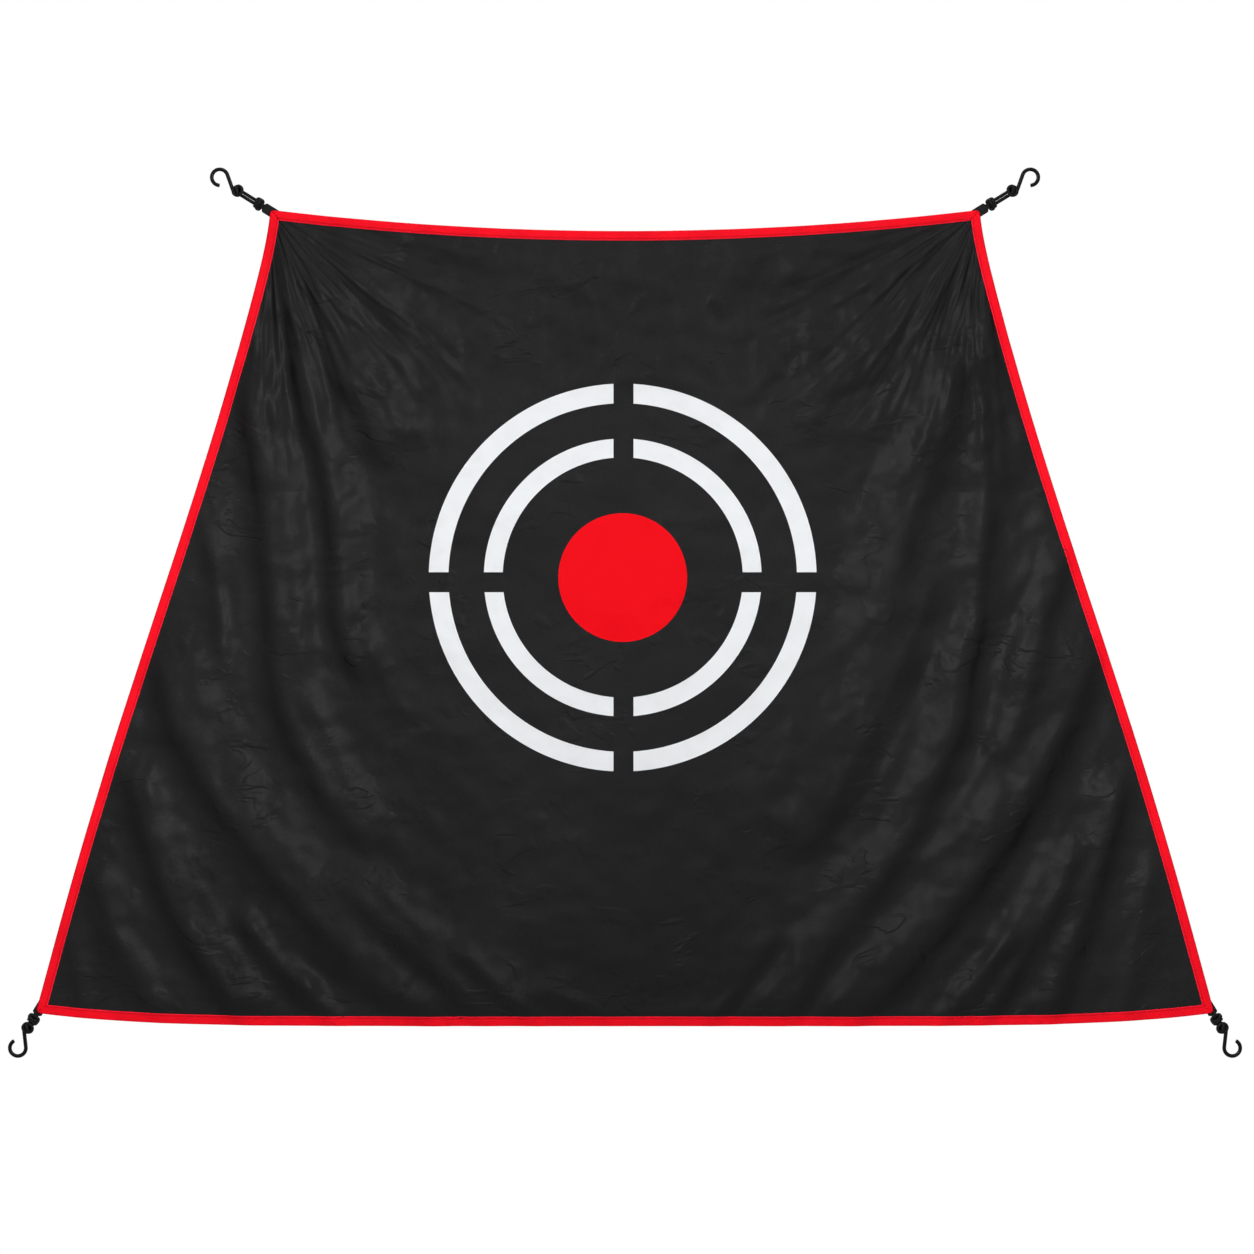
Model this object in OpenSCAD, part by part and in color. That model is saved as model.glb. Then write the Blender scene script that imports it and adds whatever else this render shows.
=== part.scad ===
// Golf chipping target: a limp cloth with a bound edge and a printed target, hung by
// four wire hooks on elastic loops.
// X runs to the right, Y to the back and Z up. The front faces -Y, and the origin is
// the middle of the whole part.

/* [Cloth] */
// Width between the corners of the bottom edge
bottom_w = 1500; // [1350:10:1650]
// Width between the corners of the top edge
top_w = 903; // [810:1:990]
// Height from the bottom corners to the top corners
cloth_h = 1022; // [920:1:1120]
// How far the middle of the top edge sags below its corners
top_sag = 27; // [0:1:50]
// How far the middle of the bottom edge hangs below its corners
bottom_drop = 17; // [0:1:40]
// How far the side edges are drawn in just below the top corners
corner_draw = 8; // [0:0.5:16]
// Half of the slow S wave along the side edges
side_wave = 5; // [0:0.5:10]
// Thickness of the cloth
cloth_t = 1; // [0.6:0.1:1.6]
// Depth of the deepest fold, to the front or to the back
fold_depth = 8; // [2:0.5:14]
// Radius of the flat area around the target
flat_r = 305; // [290:5:340]
// Distance from the corners over which the cloth lies flat under a tab
corner_flat = 26; // [20:1:40]

/* [Target] */
// Middle of the target, to the right of the middle of the cloth
target_x = -3; // [-20:1:20]
// Middle of the target, above the middle of the part
target_z = 43; // [0:1:80]
// Outer radius of the outer ring
outer_ring_r = 247; // [225:1:260]
// Width of the outer ring
outer_ring_w = 25; // [15:1:35]
// Outer radius of the inner ring
inner_ring_r = 177; // [160:1:190]
// Width of the inner ring
inner_ring_w = 24; // [15:1:35]
// Radius of the bull's-eye
bull_r = 82; // [60:1:100]
// Width of the bare cross that splits the rings
cross_w = 25.5; // [15:0.5:35]
// Middle of the bare cross, to the right of the middle of the rings
cross_x = 1; // [-10:1:10]
// Middle of the bare cross, above the middle of the rings
cross_z = -6; // [-10:1:10]
// Thickness of the printed film
print_t = 0.4; // [0.2:0.1:0.6]

/* [Binding] */
// Width of the binding on each face of the cloth
binding_w = 12; // [9:0.5:16]
// Thickness of one layer of binding
binding_t = 0.8; // [0.5:0.1:1.2]
// Distance from the outer edge of the binding to the raw edge of the cloth
cloth_inset = 2.5; // [2:0.5:4]

/* [Tabs] */
// Width of the webbing
web_w = 14; // [12:0.5:18]
// Width of the webbing where the elastic gathers it
web_end_w = 6; // [5:0.5:8]
// Thickness of the webbing
web_t = 1; // [0.7:0.1:1.4]
// Length of the webbing that is sewn down behind the corner
tab_tail = 22; // [16:1:30]
// Length over which the webbing opens into its end loop
tab_wedge = 4.7; // [4:0.1:4.7]
// Reach of the upper tabs, from the corner to the middle of the end loop
upper_tab = 14; // [12:0.5:20]
// Reach of the lower tabs, from the corner to the middle of the end loop
lower_tab = 8; // [8:0.5:14]
// Direction of the upper left loop, in degrees from +X towards +Z
upper_angle = 148; // [135:1:160]
// Direction of the lower left loop, in degrees from +X towards +Z
lower_angle = 238; // [228:1:248]

/* [Elastic] */
// Diameter of the elastic cord
cord_d = 4.4; // [3.6:0.1:5]
// Upper loops, from the end of the tab to the eye of the hook
upper_cord = 37; // [30:0.5:60]
// Lower loops, from the end of the tab to the eye of the hook
lower_cord = 18.5; // [18.5:0.5:40]
// Diameter of the cord where it is squeezed through the eye
waist_d = 4; // [3:0.1:4]
// Gap between the two strands of a loop
strand_gap = 0.2; // [0.1:0.1:0.4]

/* [Hooks] */
// Diameter of the coated wire
wire_d = 5; // [4:0.1:5]
// Radius of the eye, to the middle of the wire
eye_r = 4.8; // [4.8:0.1:6]
// Radius of the bowl, to the middle of the wire
bowl_r = 10.2; // [9:0.1:14]
// Length of the straight shank between the eye and the bowl
shank_l = 23.2; // [21:0.1:30]
// Slant of the shank, away from the side of the tip
shank_slant = 38.3; // [30:0.1:45]
// Sweep of the bowl from the shank to the tip
bowl_sweep = 250; // [220:1:255]

/* [Clearances] */
// Running gap between pieces that move on each other
run_gap = 0.3; // [0.2:0.05:0.5]
// Gap between the cut ends of a strand and its knots
seat_gap = 0.2; // [0.1:0.05:0.4]

/* [Hidden] */
$fn = 48;

cloth_colour = [0.10, 0.10, 0.10];
print_colour = [0.92, 0.93, 0.94];
red_colour = [0.90, 0.08, 0.12];
web_colour = [0.06, 0.06, 0.06];
cord_colour = [0.08, 0.08, 0.08];
wire_colour = [0.12, 0.12, 0.13];

// Share of the side's height over which the edge is drawn in below a top corner
corner_run = 0.04;
// Distance over which the folds grow from flat cloth to their full depth
fold_fade = 80;
edge_fade = 30;
// Flat rim of the cloth, which lies inside the binding
flat_rim = binding_w + 2;
// Middles of the layers behind the corner, from the middle of the cloth
tab_y = cloth_t / 2 + binding_t + web_t;
// Start of the upper and lower tabs, from the corner of the cloth
upper_start = [0.5, -2];
lower_start = [3, 2];

// Folds of the cloth. Each row holds the top end (x, z), the bottom end (x, z), the
// bow of the line between them, the half width, and the depth as a share of
// fold_depth: below 0 towards the front (a ridge), above 0 towards the back.
FOLDS = [
    [-436, 470, -360,  90, 0.6, 22, -0.80],
    [-430, 400, -374, -60, 0.6, 20,  0.80],
    [-480, 300, -446, -20, 0.7, 24, -0.65],
    [-400, 400, -325, 200, 1.3, 20,  0.55],
    [-425, 485, -350, 395, 1.2, 18,  0.60],
    [-467,  30, -400, -190, 1.4, 20, 0.50],
    [-430, -40, -345, -240, 1.8, 24, -0.60],
    [-580, -80, -255, -500, 1.6, 26, -1.00],
    [-580, -165, -300, -505, 1.6, 22, 0.90],
    [-628, -210, -505, -500, 1.5, 24, -0.80],
    [-604, -320, -520, -505, 1.7, 18,  0.85],
    [-315, -370, -185, -500, 1.2, 20, -0.55],
    [ 434,  450,  350, 320, 1.3, 22,  0.80],
    [ 430,  475,  350, 385, 1.2, 18, -0.50],
    [ 422,  300,  330, -20, 1.2, 22,  0.85],
    [ 470,  350,  462, -20, 1.0, 24, -0.55],
    [ 592,  -85,  330, -505, 1.6, 24, 1.00],
    [ 545, -120,  268, -505, 1.6, 26, -0.90],
    [ 452,    0,  205, -505, 2.1, 24, 0.75],
    [ 380,  -45,  215, -330, 1.7, 26, -0.55],
    [ 545,   20,  495, -190, 1.6, 20, 0.55],
    [ 627, -240,  555, -505, 1.9, 22, 0.75],
    [ 560, -355,  478, -505, 1.4, 20, -0.60]
];

// ---- outline of the cloth ----

// Half of the width at the share v of the height, from 0 at the top to 1 at the bottom
function half_w(v) = top_w / 2 + (bottom_w - top_w) / 2 * v
    - corner_draw * (1 - v) * (1 - exp(-v / corner_run))
    - side_wave * sin(360 * v);

// Height of the top and bottom edges at the share u of the half width
function top_edge(u) = cloth_h / 2 - top_sag * (1 - u * u);
function bottom_edge(u) = -cloth_h / 2 - bottom_drop * (1 - pow(abs(u), 6));

function edge_point(u, v) = [
    half_w(v) * u,
    (1 - v) * top_edge(u) + v * bottom_edge(u)
];

// The four edges, each walked with the cloth on its right-hand side
EDGE_STEPS = 36;
function share(i) = i / EDGE_STEPS;
function side_share(i) = pow(share(i), 1.2);
TOP_EDGE = [for (i = [0:EDGE_STEPS]) edge_point(2 * share(i) - 1, 0)];
RIGHT_EDGE = [for (i = [0:EDGE_STEPS]) edge_point(1, side_share(i))];
BOTTOM_EDGE = [for (i = [0:EDGE_STEPS]) edge_point(1 - 2 * share(i), 1)];
LEFT_EDGE = [for (i = [0:EDGE_STEPS]) edge_point(-1, side_share(EDGE_STEPS - i))];

function unit(p) = p / norm(p);
function right_of(p) = [p.y, -p.x];
// Inward normal of an edge at its point i
function inward(edge, i) = unit(right_of(
    edge[min(i + 1, EDGE_STEPS)] - edge[max(i - 1, 0)]));
// The point of an edge moved inwards by d, mitred where it meets the next edge
function mitre(p, n1, n2, d) = p + d * (n1 + n2) / (1 + n1 * n2);
function moved(edge, before, after, d) = [
    for (i = [0:EDGE_STEPS])
        i == 0 ? mitre(edge[0], inward(edge, 0), inward(before, EDGE_STEPS), d)
        : i == EDGE_STEPS
            ? mitre(edge[i], inward(edge, i), inward(after, 0), d)
        : edge[i] + d * inward(edge, i)
];
function reversed(list) = [for (i = [len(list) - 1:-1:0]) list[i]];

// A flat shape of the XZ plane, from y_front to y_back
module plate(y_front, y_back) {
    translate([0, y_back, 0])
        rotate([90, 0, 0])
            linear_extrude(y_back - y_front)
                children();
}

// The strip of an edge between the distances near and far from the outline
module strip(edge, before, after, near, far) {
    polygon(concat(
        moved(edge, before, after, near),
        reversed(moved(edge, before, after, far))));
}

// ---- cloth ----

function smooth(t) = t <= 0 ? 0 : t >= 1 ? 1 : t * t * (3 - 2 * t);

// Depth of one fold at a point, as a share of fold_depth
function fold(f, x, z) =
    let (s = (f[1] - z) / (f[1] - f[3]))
    s <= 0 || s >= 1 ? 0
    : let (
        line = f[0] + (f[2] - f[0]) * pow(s, f[4]),
        off = (x - line) / f[5],
        ends = smooth(s / 0.2) * smooth((1 - s) / 0.15)
    )
    f[6] * ends * exp(-off * off);
function all_folds(x, z, i = 0) =
    i == len(FOLDS) ? 0 : fold(FOLDS[i], x, z) + all_folds(x, z, i + 1);

// Share of their depth that the folds keep near the target and near the corners
function clear_of_target(x, z) =
    smooth((norm([x - target_x, z - target_z]) - flat_r) / fold_fade);
function clear_of_corners(x, z) =
    smooth((norm([abs(x) - top_w / 2, z - cloth_h / 2]) - corner_flat) / edge_fade)
    * smooth((norm([abs(x) - bottom_w / 2, z + cloth_h / 2]) - corner_flat) / edge_fade);
function cloth_y(x, z) = fold_depth * max(-1, min(1, all_folds(x, z)))
    * clear_of_target(x, z) * clear_of_corners(x, z);

// Grid of the cloth: a flat rim all round, fine columns in the folded sides and
// coarse ones behind the target
SIDE_COLUMNS = 11;
MID_COLUMNS = 4;
ROWS = 18;
mid_share = 0.45;
COLUMNS = concat(
    [-1],
    [for (i = [0:SIDE_COLUMNS]) -1 + (1 - mid_share) * i / SIDE_COLUMNS],
    [for (i = [1:MID_COLUMNS - 1]) mid_share * (2 * i / MID_COLUMNS - 1)],
    [for (i = [0:SIDE_COLUMNS]) mid_share + (1 - mid_share) * i / SIDE_COLUMNS],
    [1]);
ROW_SHARES = concat([0], [for (i = [0:ROWS]) pow(i / ROWS, 1.1)], [1]);
last_column = len(COLUMNS) - 1;
last_row = len(ROW_SHARES) - 1;

function rim(i, last) = i == 0 || i == last ? cloth_inset : flat_rim;
function on_rim(i, last) = i <= 1 || i >= last - 1;
// Share of the side's height at which the row i meets the side edges
function side_v(i) =
    let (r = rim(i, last_row) / cloth_h)
    r + ROW_SHARES[i] * (1 - 2 * r);
function grid_point(i, j, half_t) =
    let (
        u = COLUMNS[j],
        v = ROW_SHARES[i],
        x = u * (half_w(side_v(i)) - rim(j, last_column)),
        z = (1 - v) * (top_edge(u) - rim(i, last_row))
            + v * (bottom_edge(u) + rim(i, last_row)),
        flat = on_rim(i, last_row) || on_rim(j, last_column)
    )
    [x, (flat ? 0 : cloth_y(x, z)) + half_t, z];

GRID = len(ROW_SHARES) * len(COLUMNS);
function at(i, j) = i * len(COLUMNS) + j;
// Two triangles of the quad a-b-c-d. The front and the back of a cell are split along
// the same diagonal, so that the two faces of the cloth stay parallel.
function quad(a, b, c, d) = [[a, b, c], [a, c, d]];
function cell(i, j, base) = let (
        a = base + at(i, j),
        b = base + at(i, j + 1),
        c = base + at(i + 1, j + 1),
        d = base + at(i + 1, j)
    )
    base == 0 ? quad(a, b, c, d) : quad(a, d, c, b);
function wall(a, b) = quad(b, a, a + GRID, b + GRID);

module cloth_panel() {
    faces = concat(
        [for (base = [0, GRID], i = [0:last_row - 1], j = [0:last_column - 1])
            each cell(i, j, base)],
        [for (j = [0:last_column - 1]) each wall(at(0, j), at(0, j + 1))],
        [for (i = [0:last_row - 1])
            each wall(at(i, last_column), at(i + 1, last_column))],
        [for (j = [0:last_column - 1])
            each wall(at(last_row, j + 1), at(last_row, j))],
        [for (i = [0:last_row - 1]) each wall(at(i + 1, 0), at(i, 0))]);
    points = [for (half_t = [-cloth_t / 2, cloth_t / 2],
        i = [0:last_row], j = [0:last_column]) grid_point(i, j, half_t)];
    color(cloth_colour)
        polyhedron(points, faces);
}

// ---- prints ----

module printed_film() {
    plate(-cloth_t / 2 - print_t, -cloth_t / 2)
        translate([target_x, target_z])
            children();
}

module split_ring(r, w) {
    printed_film()
        difference() {
            circle(r, $fn = 96);
            circle(r - w, $fn = 96);
            translate([cross_x, cross_z])
                square([cross_w, 3 * r], center = true);
            translate([cross_x, cross_z])
                square([3 * r, cross_w], center = true);
        }
}

module outer_ring_print() {
    color(print_colour)
        split_ring(outer_ring_r, outer_ring_w);
}

module inner_ring_print() {
    color(print_colour)
        split_ring(inner_ring_r, inner_ring_w);
}

module bullseye_print() {
    color(red_colour)
        printed_film()
            circle(bull_r, $fn = 96);
}

// ---- binding ----

// One side of the binding: a strip folded round the edge of the cloth
module binding(edge, before, after) {
    outside = cloth_t / 2 + binding_t;
    color(red_colour)
        difference() {
            plate(-outside, outside)
                strip(edge, before, after, 0, binding_w);
            plate(-cloth_t / 2, cloth_t / 2)
                strip(edge, before, after, binding_t, binding_w + 1);
        }
}

module binding_top() {
    binding(TOP_EDGE, LEFT_EDGE, RIGHT_EDGE);
}

module binding_right() {
    binding(RIGHT_EDGE, TOP_EDGE, BOTTOM_EDGE);
}

module binding_bottom() {
    binding(BOTTOM_EDGE, RIGHT_EDGE, LEFT_EDGE);
}

module binding_left() {
    binding(LEFT_EDGE, BOTTOM_EDGE, TOP_EDGE);
}

// ---- corners ----

// Puts a corner's pieces in place. They are drawn with X along the pull, Z across it
// towards the side of the hook's tip, and the corner of the cloth at the origin.
module upper_left() {
    translate([-top_w / 2 + upper_start.x, tab_y, cloth_h / 2 + upper_start.y])
        rotate([0, -upper_angle, 0])
            children();
}

module lower_left() {
    translate([-bottom_w / 2 + lower_start.x, tab_y, -cloth_h / 2 + lower_start.y])
        rotate([0, -lower_angle, 0])
            mirror([0, 0, 1])
                children();
}

module upper_right() {
    mirror([1, 0, 0])
        upper_left()
            children();
}

module lower_right() {
    mirror([1, 0, 0])
        lower_left()
            children();
}

// A tube of the given diameter, bent round the origin in the XZ plane
module bend(d, r, from, sweep) {
    rotate([90, 0, 0])
        rotate([0, 0, from])
            rotate_extrude(angle = sweep)
                translate([r, 0])
                    circle(d = d);
}

// A straight tube in the XZ plane, from the point a to the point b
module run(d, a, b) {
    translate([a.x, 0, a.y])
        rotate([0, 90 - atan2(b.y - a.y, b.x - a.x), 0])
            cylinder(h = norm(b - a), d = d);
}

// A closed loop of cord in the XZ plane, w by h between the middles of its sides
corner_r = 2.6;
module cord_frame(w, h) {
    x = w / 2 - corner_r;
    z = h / 2 - corner_r;
    for (q = [[1, 1, 0], [-1, 1, 90], [-1, -1, 180], [1, -1, 270]])
        translate([q[0] * x, 0, q[1] * z])
            bend(cord_d, corner_r, q[2], 90);
    for (side = [-1, 1]) {
        run(cord_d, [-x, side * h / 2], [x, side * h / 2]);
        run(cord_d, [side * w / 2, -z], [side * w / 2, z]);
    }
}

// ---- tabs ----

// Inner and outer radius of the webbing's end loop
loop_in = cord_d / 2 + run_gap;
loop_out = loop_in + web_t;
// Angle at which the webbing leaves its end loop
wrap_angle = 122;
// The sides of the opening wedge run on a hair past the faces of the end loop
wedge_overrun = 0.1;

// Side view of the webbing: the sewn tail, the legs that open into a wedge, and the
// loop round the elastic
module tab_side_view(reach) {
    leave = [cos(wrap_angle), sin(wrap_angle)];
    out = (loop_out - wedge_overrun) * leave;
    in = (loop_in - wedge_overrun) * leave;
    flare = reach - tab_wedge;
    difference() {
        union() {
            linear_extrude(web_w, center = true)
                polygon([
                    [-tab_tail, web_t], [flare, web_t], [reach + out.x, out.y],
                    [reach + out.x, -out.y], [flare, -web_t], [-tab_tail, -web_t]
                ]);
            translate([reach, 0, 0])
                cylinder(h = web_w, r = loop_out, center = true);
        }
        translate([reach, 0, 0])
            cylinder(h = web_w + 2, r = loop_in, center = true);
        linear_extrude(web_w + 2, center = true)
            polygon([
                [flare + web_t, 0], [reach + in.x, in.y], [reach + in.x, -in.y]
            ]);
    }
}

// Plan of the webbing, which the elastic gathers at its end loop
module tab_plan(reach) {
    neck = reach - corner_r;
    polygon([
        [-tab_tail - 1, web_w / 2], [neck - tab_wedge / 2, web_w / 2],
        [neck, web_end_w / 2], [reach + loop_out + 1, web_end_w / 2],
        [reach + loop_out + 1, -web_end_w / 2], [neck, -web_end_w / 2],
        [neck - tab_wedge / 2, -web_w / 2], [-tab_tail - 1, -web_w / 2]
    ]);
}

module tab(reach) {
    color(web_colour)
        intersection() {
            tab_side_view(reach);
            plate(-loop_out - 1, loop_out + 1)
                tab_plan(reach);
        }
}

module upper_left_tab() {
    upper_left()
        tab(upper_tab);
}

module upper_right_tab() {
    upper_right()
        tab(upper_tab);
}

module lower_left_tab() {
    lower_left()
        tab(lower_tab);
}

module lower_right_tab() {
    lower_right()
        tab(lower_tab);
}

// Two thread bars across the back of a tab
tack_l = 10;
tack_w = 1.6;
tack_t = 0.5;
module tacks() {
    for (share = [0.35, 0.75])
        translate([-tab_tail * share - tack_w / 2, web_t, -tack_l / 2])
            cube([tack_w, tack_t, tack_l]);
}

module tab_tacks() {
    color(web_colour) {
        upper_left() tacks();
        upper_right() tacks();
        lower_left() tacks();
        lower_right() tacks();
    }
}

// ---- elastic ----

// Half of the width of both knots, to the middle of the cord
knot_half = web_end_w / 2 + run_gap + cord_d / 2;
// Distance from the middle of the tab's end loop to the cord that crosses in front
knot_reach = loop_out + run_gap + cord_d / 2;
// Half of the distance between the middles of the two strands
strand_z = (cord_d + strand_gap) / 2;
// Distance between the middle of the wire and the middle of a cord that passes it
pass = wire_d / 2 + run_gap + cord_d / 2;

// Distance from the cord that crosses at the tab to the near bar of the eye, and the
// slope at which the strands rise to pass behind that bar
function span(cord) = cord - knot_reach - eye_r;
function slope(cord) = asin(pass / span(cord));

// Loop of cord through the end of the tab
module tab_knot(reach) {
    color(cord_colour)
        translate([reach + knot_reach / 2, 0, 0])
            cord_frame(knot_reach, 2 * knot_half);
}

// Two straight strands from the knot on the tab to the knot on the hook
module strands(reach, cord) {
    from = cord_d / 2 + seat_gap;
    to = span(cord) * cos(slope(cord)) - seat_gap;
    color(cord_colour)
        for (side = [-1, 1])
            translate([reach + knot_reach, 0, side * strand_z])
                rotate([0, 0, slope(cord)])
                    translate([from, 0, 0])
                        rotate([0, 90, 0])
                            cylinder(h = to - from, d = cord_d);
}

// Knot on the eye: a loop in front, a waist through the eye and two legs behind that
// bend round the near bar of the eye
module hook_knot(cord) {
    front_l = knot_reach + run_gap;
    color(cord_colour) {
        translate([-front_l / 2, -pass, 0])
            cord_frame(front_l, 2 * knot_half);
        translate([0, pass, 0])
            rotate([90, 0, 0])
                cylinder(h = 2 * pass, d = waist_d);
        translate([0, pass, 0])
            bend(cord_d, strand_z, -90, 180);
        for (side = [-1, 1])
            translate([0, 0, side * strand_z]) {
                translate([-eye_r, pass, 0])
                    rotate([0, 90, 0])
                        cylinder(h = eye_r, d = cord_d);
                translate([-eye_r, 0, 0])
                    rotate([0, 0, 90])
                        rotate_extrude(angle = slope(cord))
                            translate([pass, 0])
                                circle(d = cord_d);
            }
    }
}

module upper_left_tab_knot() {
    upper_left()
        tab_knot(upper_tab);
}

module upper_right_tab_knot() {
    upper_right()
        tab_knot(upper_tab);
}

module lower_left_tab_knot() {
    lower_left()
        tab_knot(lower_tab);
}

module lower_right_tab_knot() {
    lower_right()
        tab_knot(lower_tab);
}

module upper_left_strands() {
    upper_left()
        strands(upper_tab, upper_cord);
}

module upper_right_strands() {
    upper_right()
        strands(upper_tab, upper_cord);
}

module lower_left_strands() {
    lower_left()
        strands(lower_tab, lower_cord);
}

module lower_right_strands() {
    lower_right()
        strands(lower_tab, lower_cord);
}

module upper_left_hook_knot() {
    upper_left()
        translate([upper_tab + upper_cord, 0, 0])
            hook_knot(upper_cord);
}

module upper_right_hook_knot() {
    upper_right()
        translate([upper_tab + upper_cord, 0, 0])
            hook_knot(upper_cord);
}

module lower_left_hook_knot() {
    lower_left()
        translate([lower_tab + lower_cord, 0, 0])
            hook_knot(lower_cord);
}

module lower_right_hook_knot() {
    lower_right()
        translate([lower_tab + lower_cord, 0, 0])
            hook_knot(lower_cord);
}

// ---- hooks ----

// The cut end of the wire stops short of the shank, and so the eye stays a little open
eye_open = acos(1 - (wire_d + run_gap) / eye_r);

// The shank runs along the top of the eye to the bottom of the bowl
module hook() {
    color(wire_colour)
        rotate([0, shank_slant, 0]) {
            bend(wire_d, eye_r, 90, 360 - eye_open);
            run(wire_d, [0, eye_r], [shank_l, eye_r]);
            translate([shank_l, 0, eye_r + bowl_r])
                bend(wire_d, bowl_r, -90, bowl_sweep);
        }
}

module upper_left_hook() {
    upper_left()
        translate([upper_tab + upper_cord, 0, 0])
            hook();
}

module upper_right_hook() {
    upper_right()
        translate([upper_tab + upper_cord, 0, 0])
            hook();
}

module lower_left_hook() {
    lower_left()
        translate([lower_tab + lower_cord, 0, 0])
            hook();
}

module lower_right_hook() {
    lower_right()
        translate([lower_tab + lower_cord, 0, 0])
            hook();
}

cloth_panel();
outer_ring_print();
inner_ring_print();
bullseye_print();
binding_top();
binding_bottom();
binding_left();
binding_right();
upper_left_tab();
upper_right_tab();
lower_left_tab();
lower_right_tab();
tab_tacks();
upper_left_tab_knot();
upper_right_tab_knot();
lower_left_tab_knot();
lower_right_tab_knot();
upper_left_strands();
upper_right_strands();
lower_left_strands();
lower_right_strands();
upper_left_hook_knot();
upper_right_hook_knot();
lower_left_hook_knot();
lower_right_hook_knot();
upper_left_hook();
upper_right_hook();
lower_left_hook();
lower_right_hook();
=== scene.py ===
"""Golf chipping target: the looks of its cloth, prints, binding, tabs, elastic and hooks.

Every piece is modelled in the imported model's own frame, in metres: X runs to the right,
Y to the back and Z up, and the printed front faces -Y.
"""

import math
import random

import bmesh
import bpy
import numpy as np
from bpy.props import FloatProperty, FloatVectorProperty, IntProperty, PointerProperty
from bpy.types import Operator, Panel, PropertyGroup
from mathutils import Matrix, Vector, noise


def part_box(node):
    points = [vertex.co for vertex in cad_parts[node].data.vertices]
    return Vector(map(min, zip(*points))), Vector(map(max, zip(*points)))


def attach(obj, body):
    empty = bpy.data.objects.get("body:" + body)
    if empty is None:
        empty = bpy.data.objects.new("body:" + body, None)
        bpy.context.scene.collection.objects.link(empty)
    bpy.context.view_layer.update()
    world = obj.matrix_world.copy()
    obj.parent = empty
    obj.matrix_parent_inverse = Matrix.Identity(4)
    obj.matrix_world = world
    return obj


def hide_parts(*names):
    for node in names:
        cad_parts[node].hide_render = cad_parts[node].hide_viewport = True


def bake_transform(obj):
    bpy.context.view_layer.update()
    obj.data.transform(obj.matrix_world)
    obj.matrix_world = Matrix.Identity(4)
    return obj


bl_info = {
    "name": "Golf Chipping Target",
    "version": (1, 0, 0),
    "blender": (4, 5, 0),
    "location": "View3D > Sidebar > Target",
    "description": "A bound target cloth with a printed bull's-eye, elastic loops and hooks",
    "category": "Add Mesh",
}

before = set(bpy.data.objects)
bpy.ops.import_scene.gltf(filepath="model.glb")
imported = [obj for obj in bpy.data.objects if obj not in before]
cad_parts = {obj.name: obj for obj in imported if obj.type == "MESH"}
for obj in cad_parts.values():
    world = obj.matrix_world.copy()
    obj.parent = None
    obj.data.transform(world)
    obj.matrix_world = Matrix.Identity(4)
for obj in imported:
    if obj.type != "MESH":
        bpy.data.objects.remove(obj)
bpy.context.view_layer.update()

MM = 0.001
CORNERS = ("upper_left", "upper_right", "lower_left", "lower_right")
TOP_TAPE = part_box("binding_top")
BOTTOM_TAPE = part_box("binding_bottom")
SIDE_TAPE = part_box("binding_left")
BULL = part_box("bullseye_print")


# ---- settings ----


def length(name, default, description):
    """A size in metres that a user may change."""
    return FloatProperty(name=name, description=description, default=default,
                         min=0.0, max=4 * default, unit="LENGTH", precision=5)


def position(name, default, description):
    """A place along an axis that a user may change."""
    return FloatProperty(name=name, description=description, default=default,
                         unit="LENGTH", precision=5)


def power(name, default, description):
    """The power of a lamp, in watts."""
    return FloatProperty(name=name, description=description, default=default,
                         min=0.0, unit="POWER")


def cells(name, default, description):
    """A number of cells of a mesh."""
    return IntProperty(name=name, description=description, default=default,
                       min=20, max=400)


def colour(name, default, description):
    """A surface colour that a user may change."""
    return FloatVectorProperty(name=name, description=description, default=default,
                               size=3, min=0.0, max=1.0, subtype="COLOR")


class ClothSettings(PropertyGroup):
    """Outline, folds and colour of the hanging cloth."""

    bottom_w: length("Bottom width", BOTTOM_TAPE[1][0] - BOTTOM_TAPE[0][0],
                     "Width between the bottom corners")
    top_w: length("Top width", TOP_TAPE[1][0] - TOP_TAPE[0][0],
                  "Width between the top corners")
    height: length("Height", SIDE_TAPE[1][2] - SIDE_TAPE[0][2],
                   "Height from the bottom corners to the top corners")
    top_sag: length("Top sag", 27 * MM, "Sag of the middle of the top edge")
    bottom_drop: length("Bottom drop", SIDE_TAPE[0][2] - BOTTOM_TAPE[0][2],
                        "Drop of the middle of the bottom edge")
    corner_draw: length("Corner draw", 8 * MM,
                        "How far the sides are drawn in below the top corners")
    side_wave: length("Side wave", 5 * MM, "Half of the slow wave of the sides")
    thickness: length("Thickness", 0.6 * MM, "Thickness of the cloth")
    inset: length("Raw edge", 2.5 * MM, "From the edge of the tape to the cloth")
    deepest: length("Deepest fold", 16 * MM, "Limit of the depth of the folds")
    flat_r: length("Flat radius", 262 * MM, "Radius of the flat area round the target")
    columns: cells("Columns", 236, "Cells across the cloth")
    rows: cells("Rows", 172, "Cells down the cloth")
    black: colour("Cloth", (0.0150, 0.0150, 0.0156), "Dyed polyester")


class TargetSettings(PropertyGroup):
    """Place, sizes and colours of the printed target."""

    ring_w: length("Outer ring width", 25 * MM, "Width of the outer ring")
    inner_w: length("Inner ring width", 24 * MM, "Width of the inner ring")
    cross_w: length("Cross width", 25.5 * MM, "Width of the bare cross")
    cross_x: position("Cross X", 1 * MM, "Middle of the cross, right of the rings' middle")
    cross_z: position("Cross Z", -6 * MM, "Middle of the cross, above the rings' middle")
    film: length("Ink thickness", 0.24 * MM, "Thickness of the printed ink")
    white: colour("White ink", (0.76, 0.775, 0.79), "Ink of the rings")
    red: colour("Red ink", (0.80, 0.0030, 0.0085), "Ink of the bull's-eye")


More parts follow.
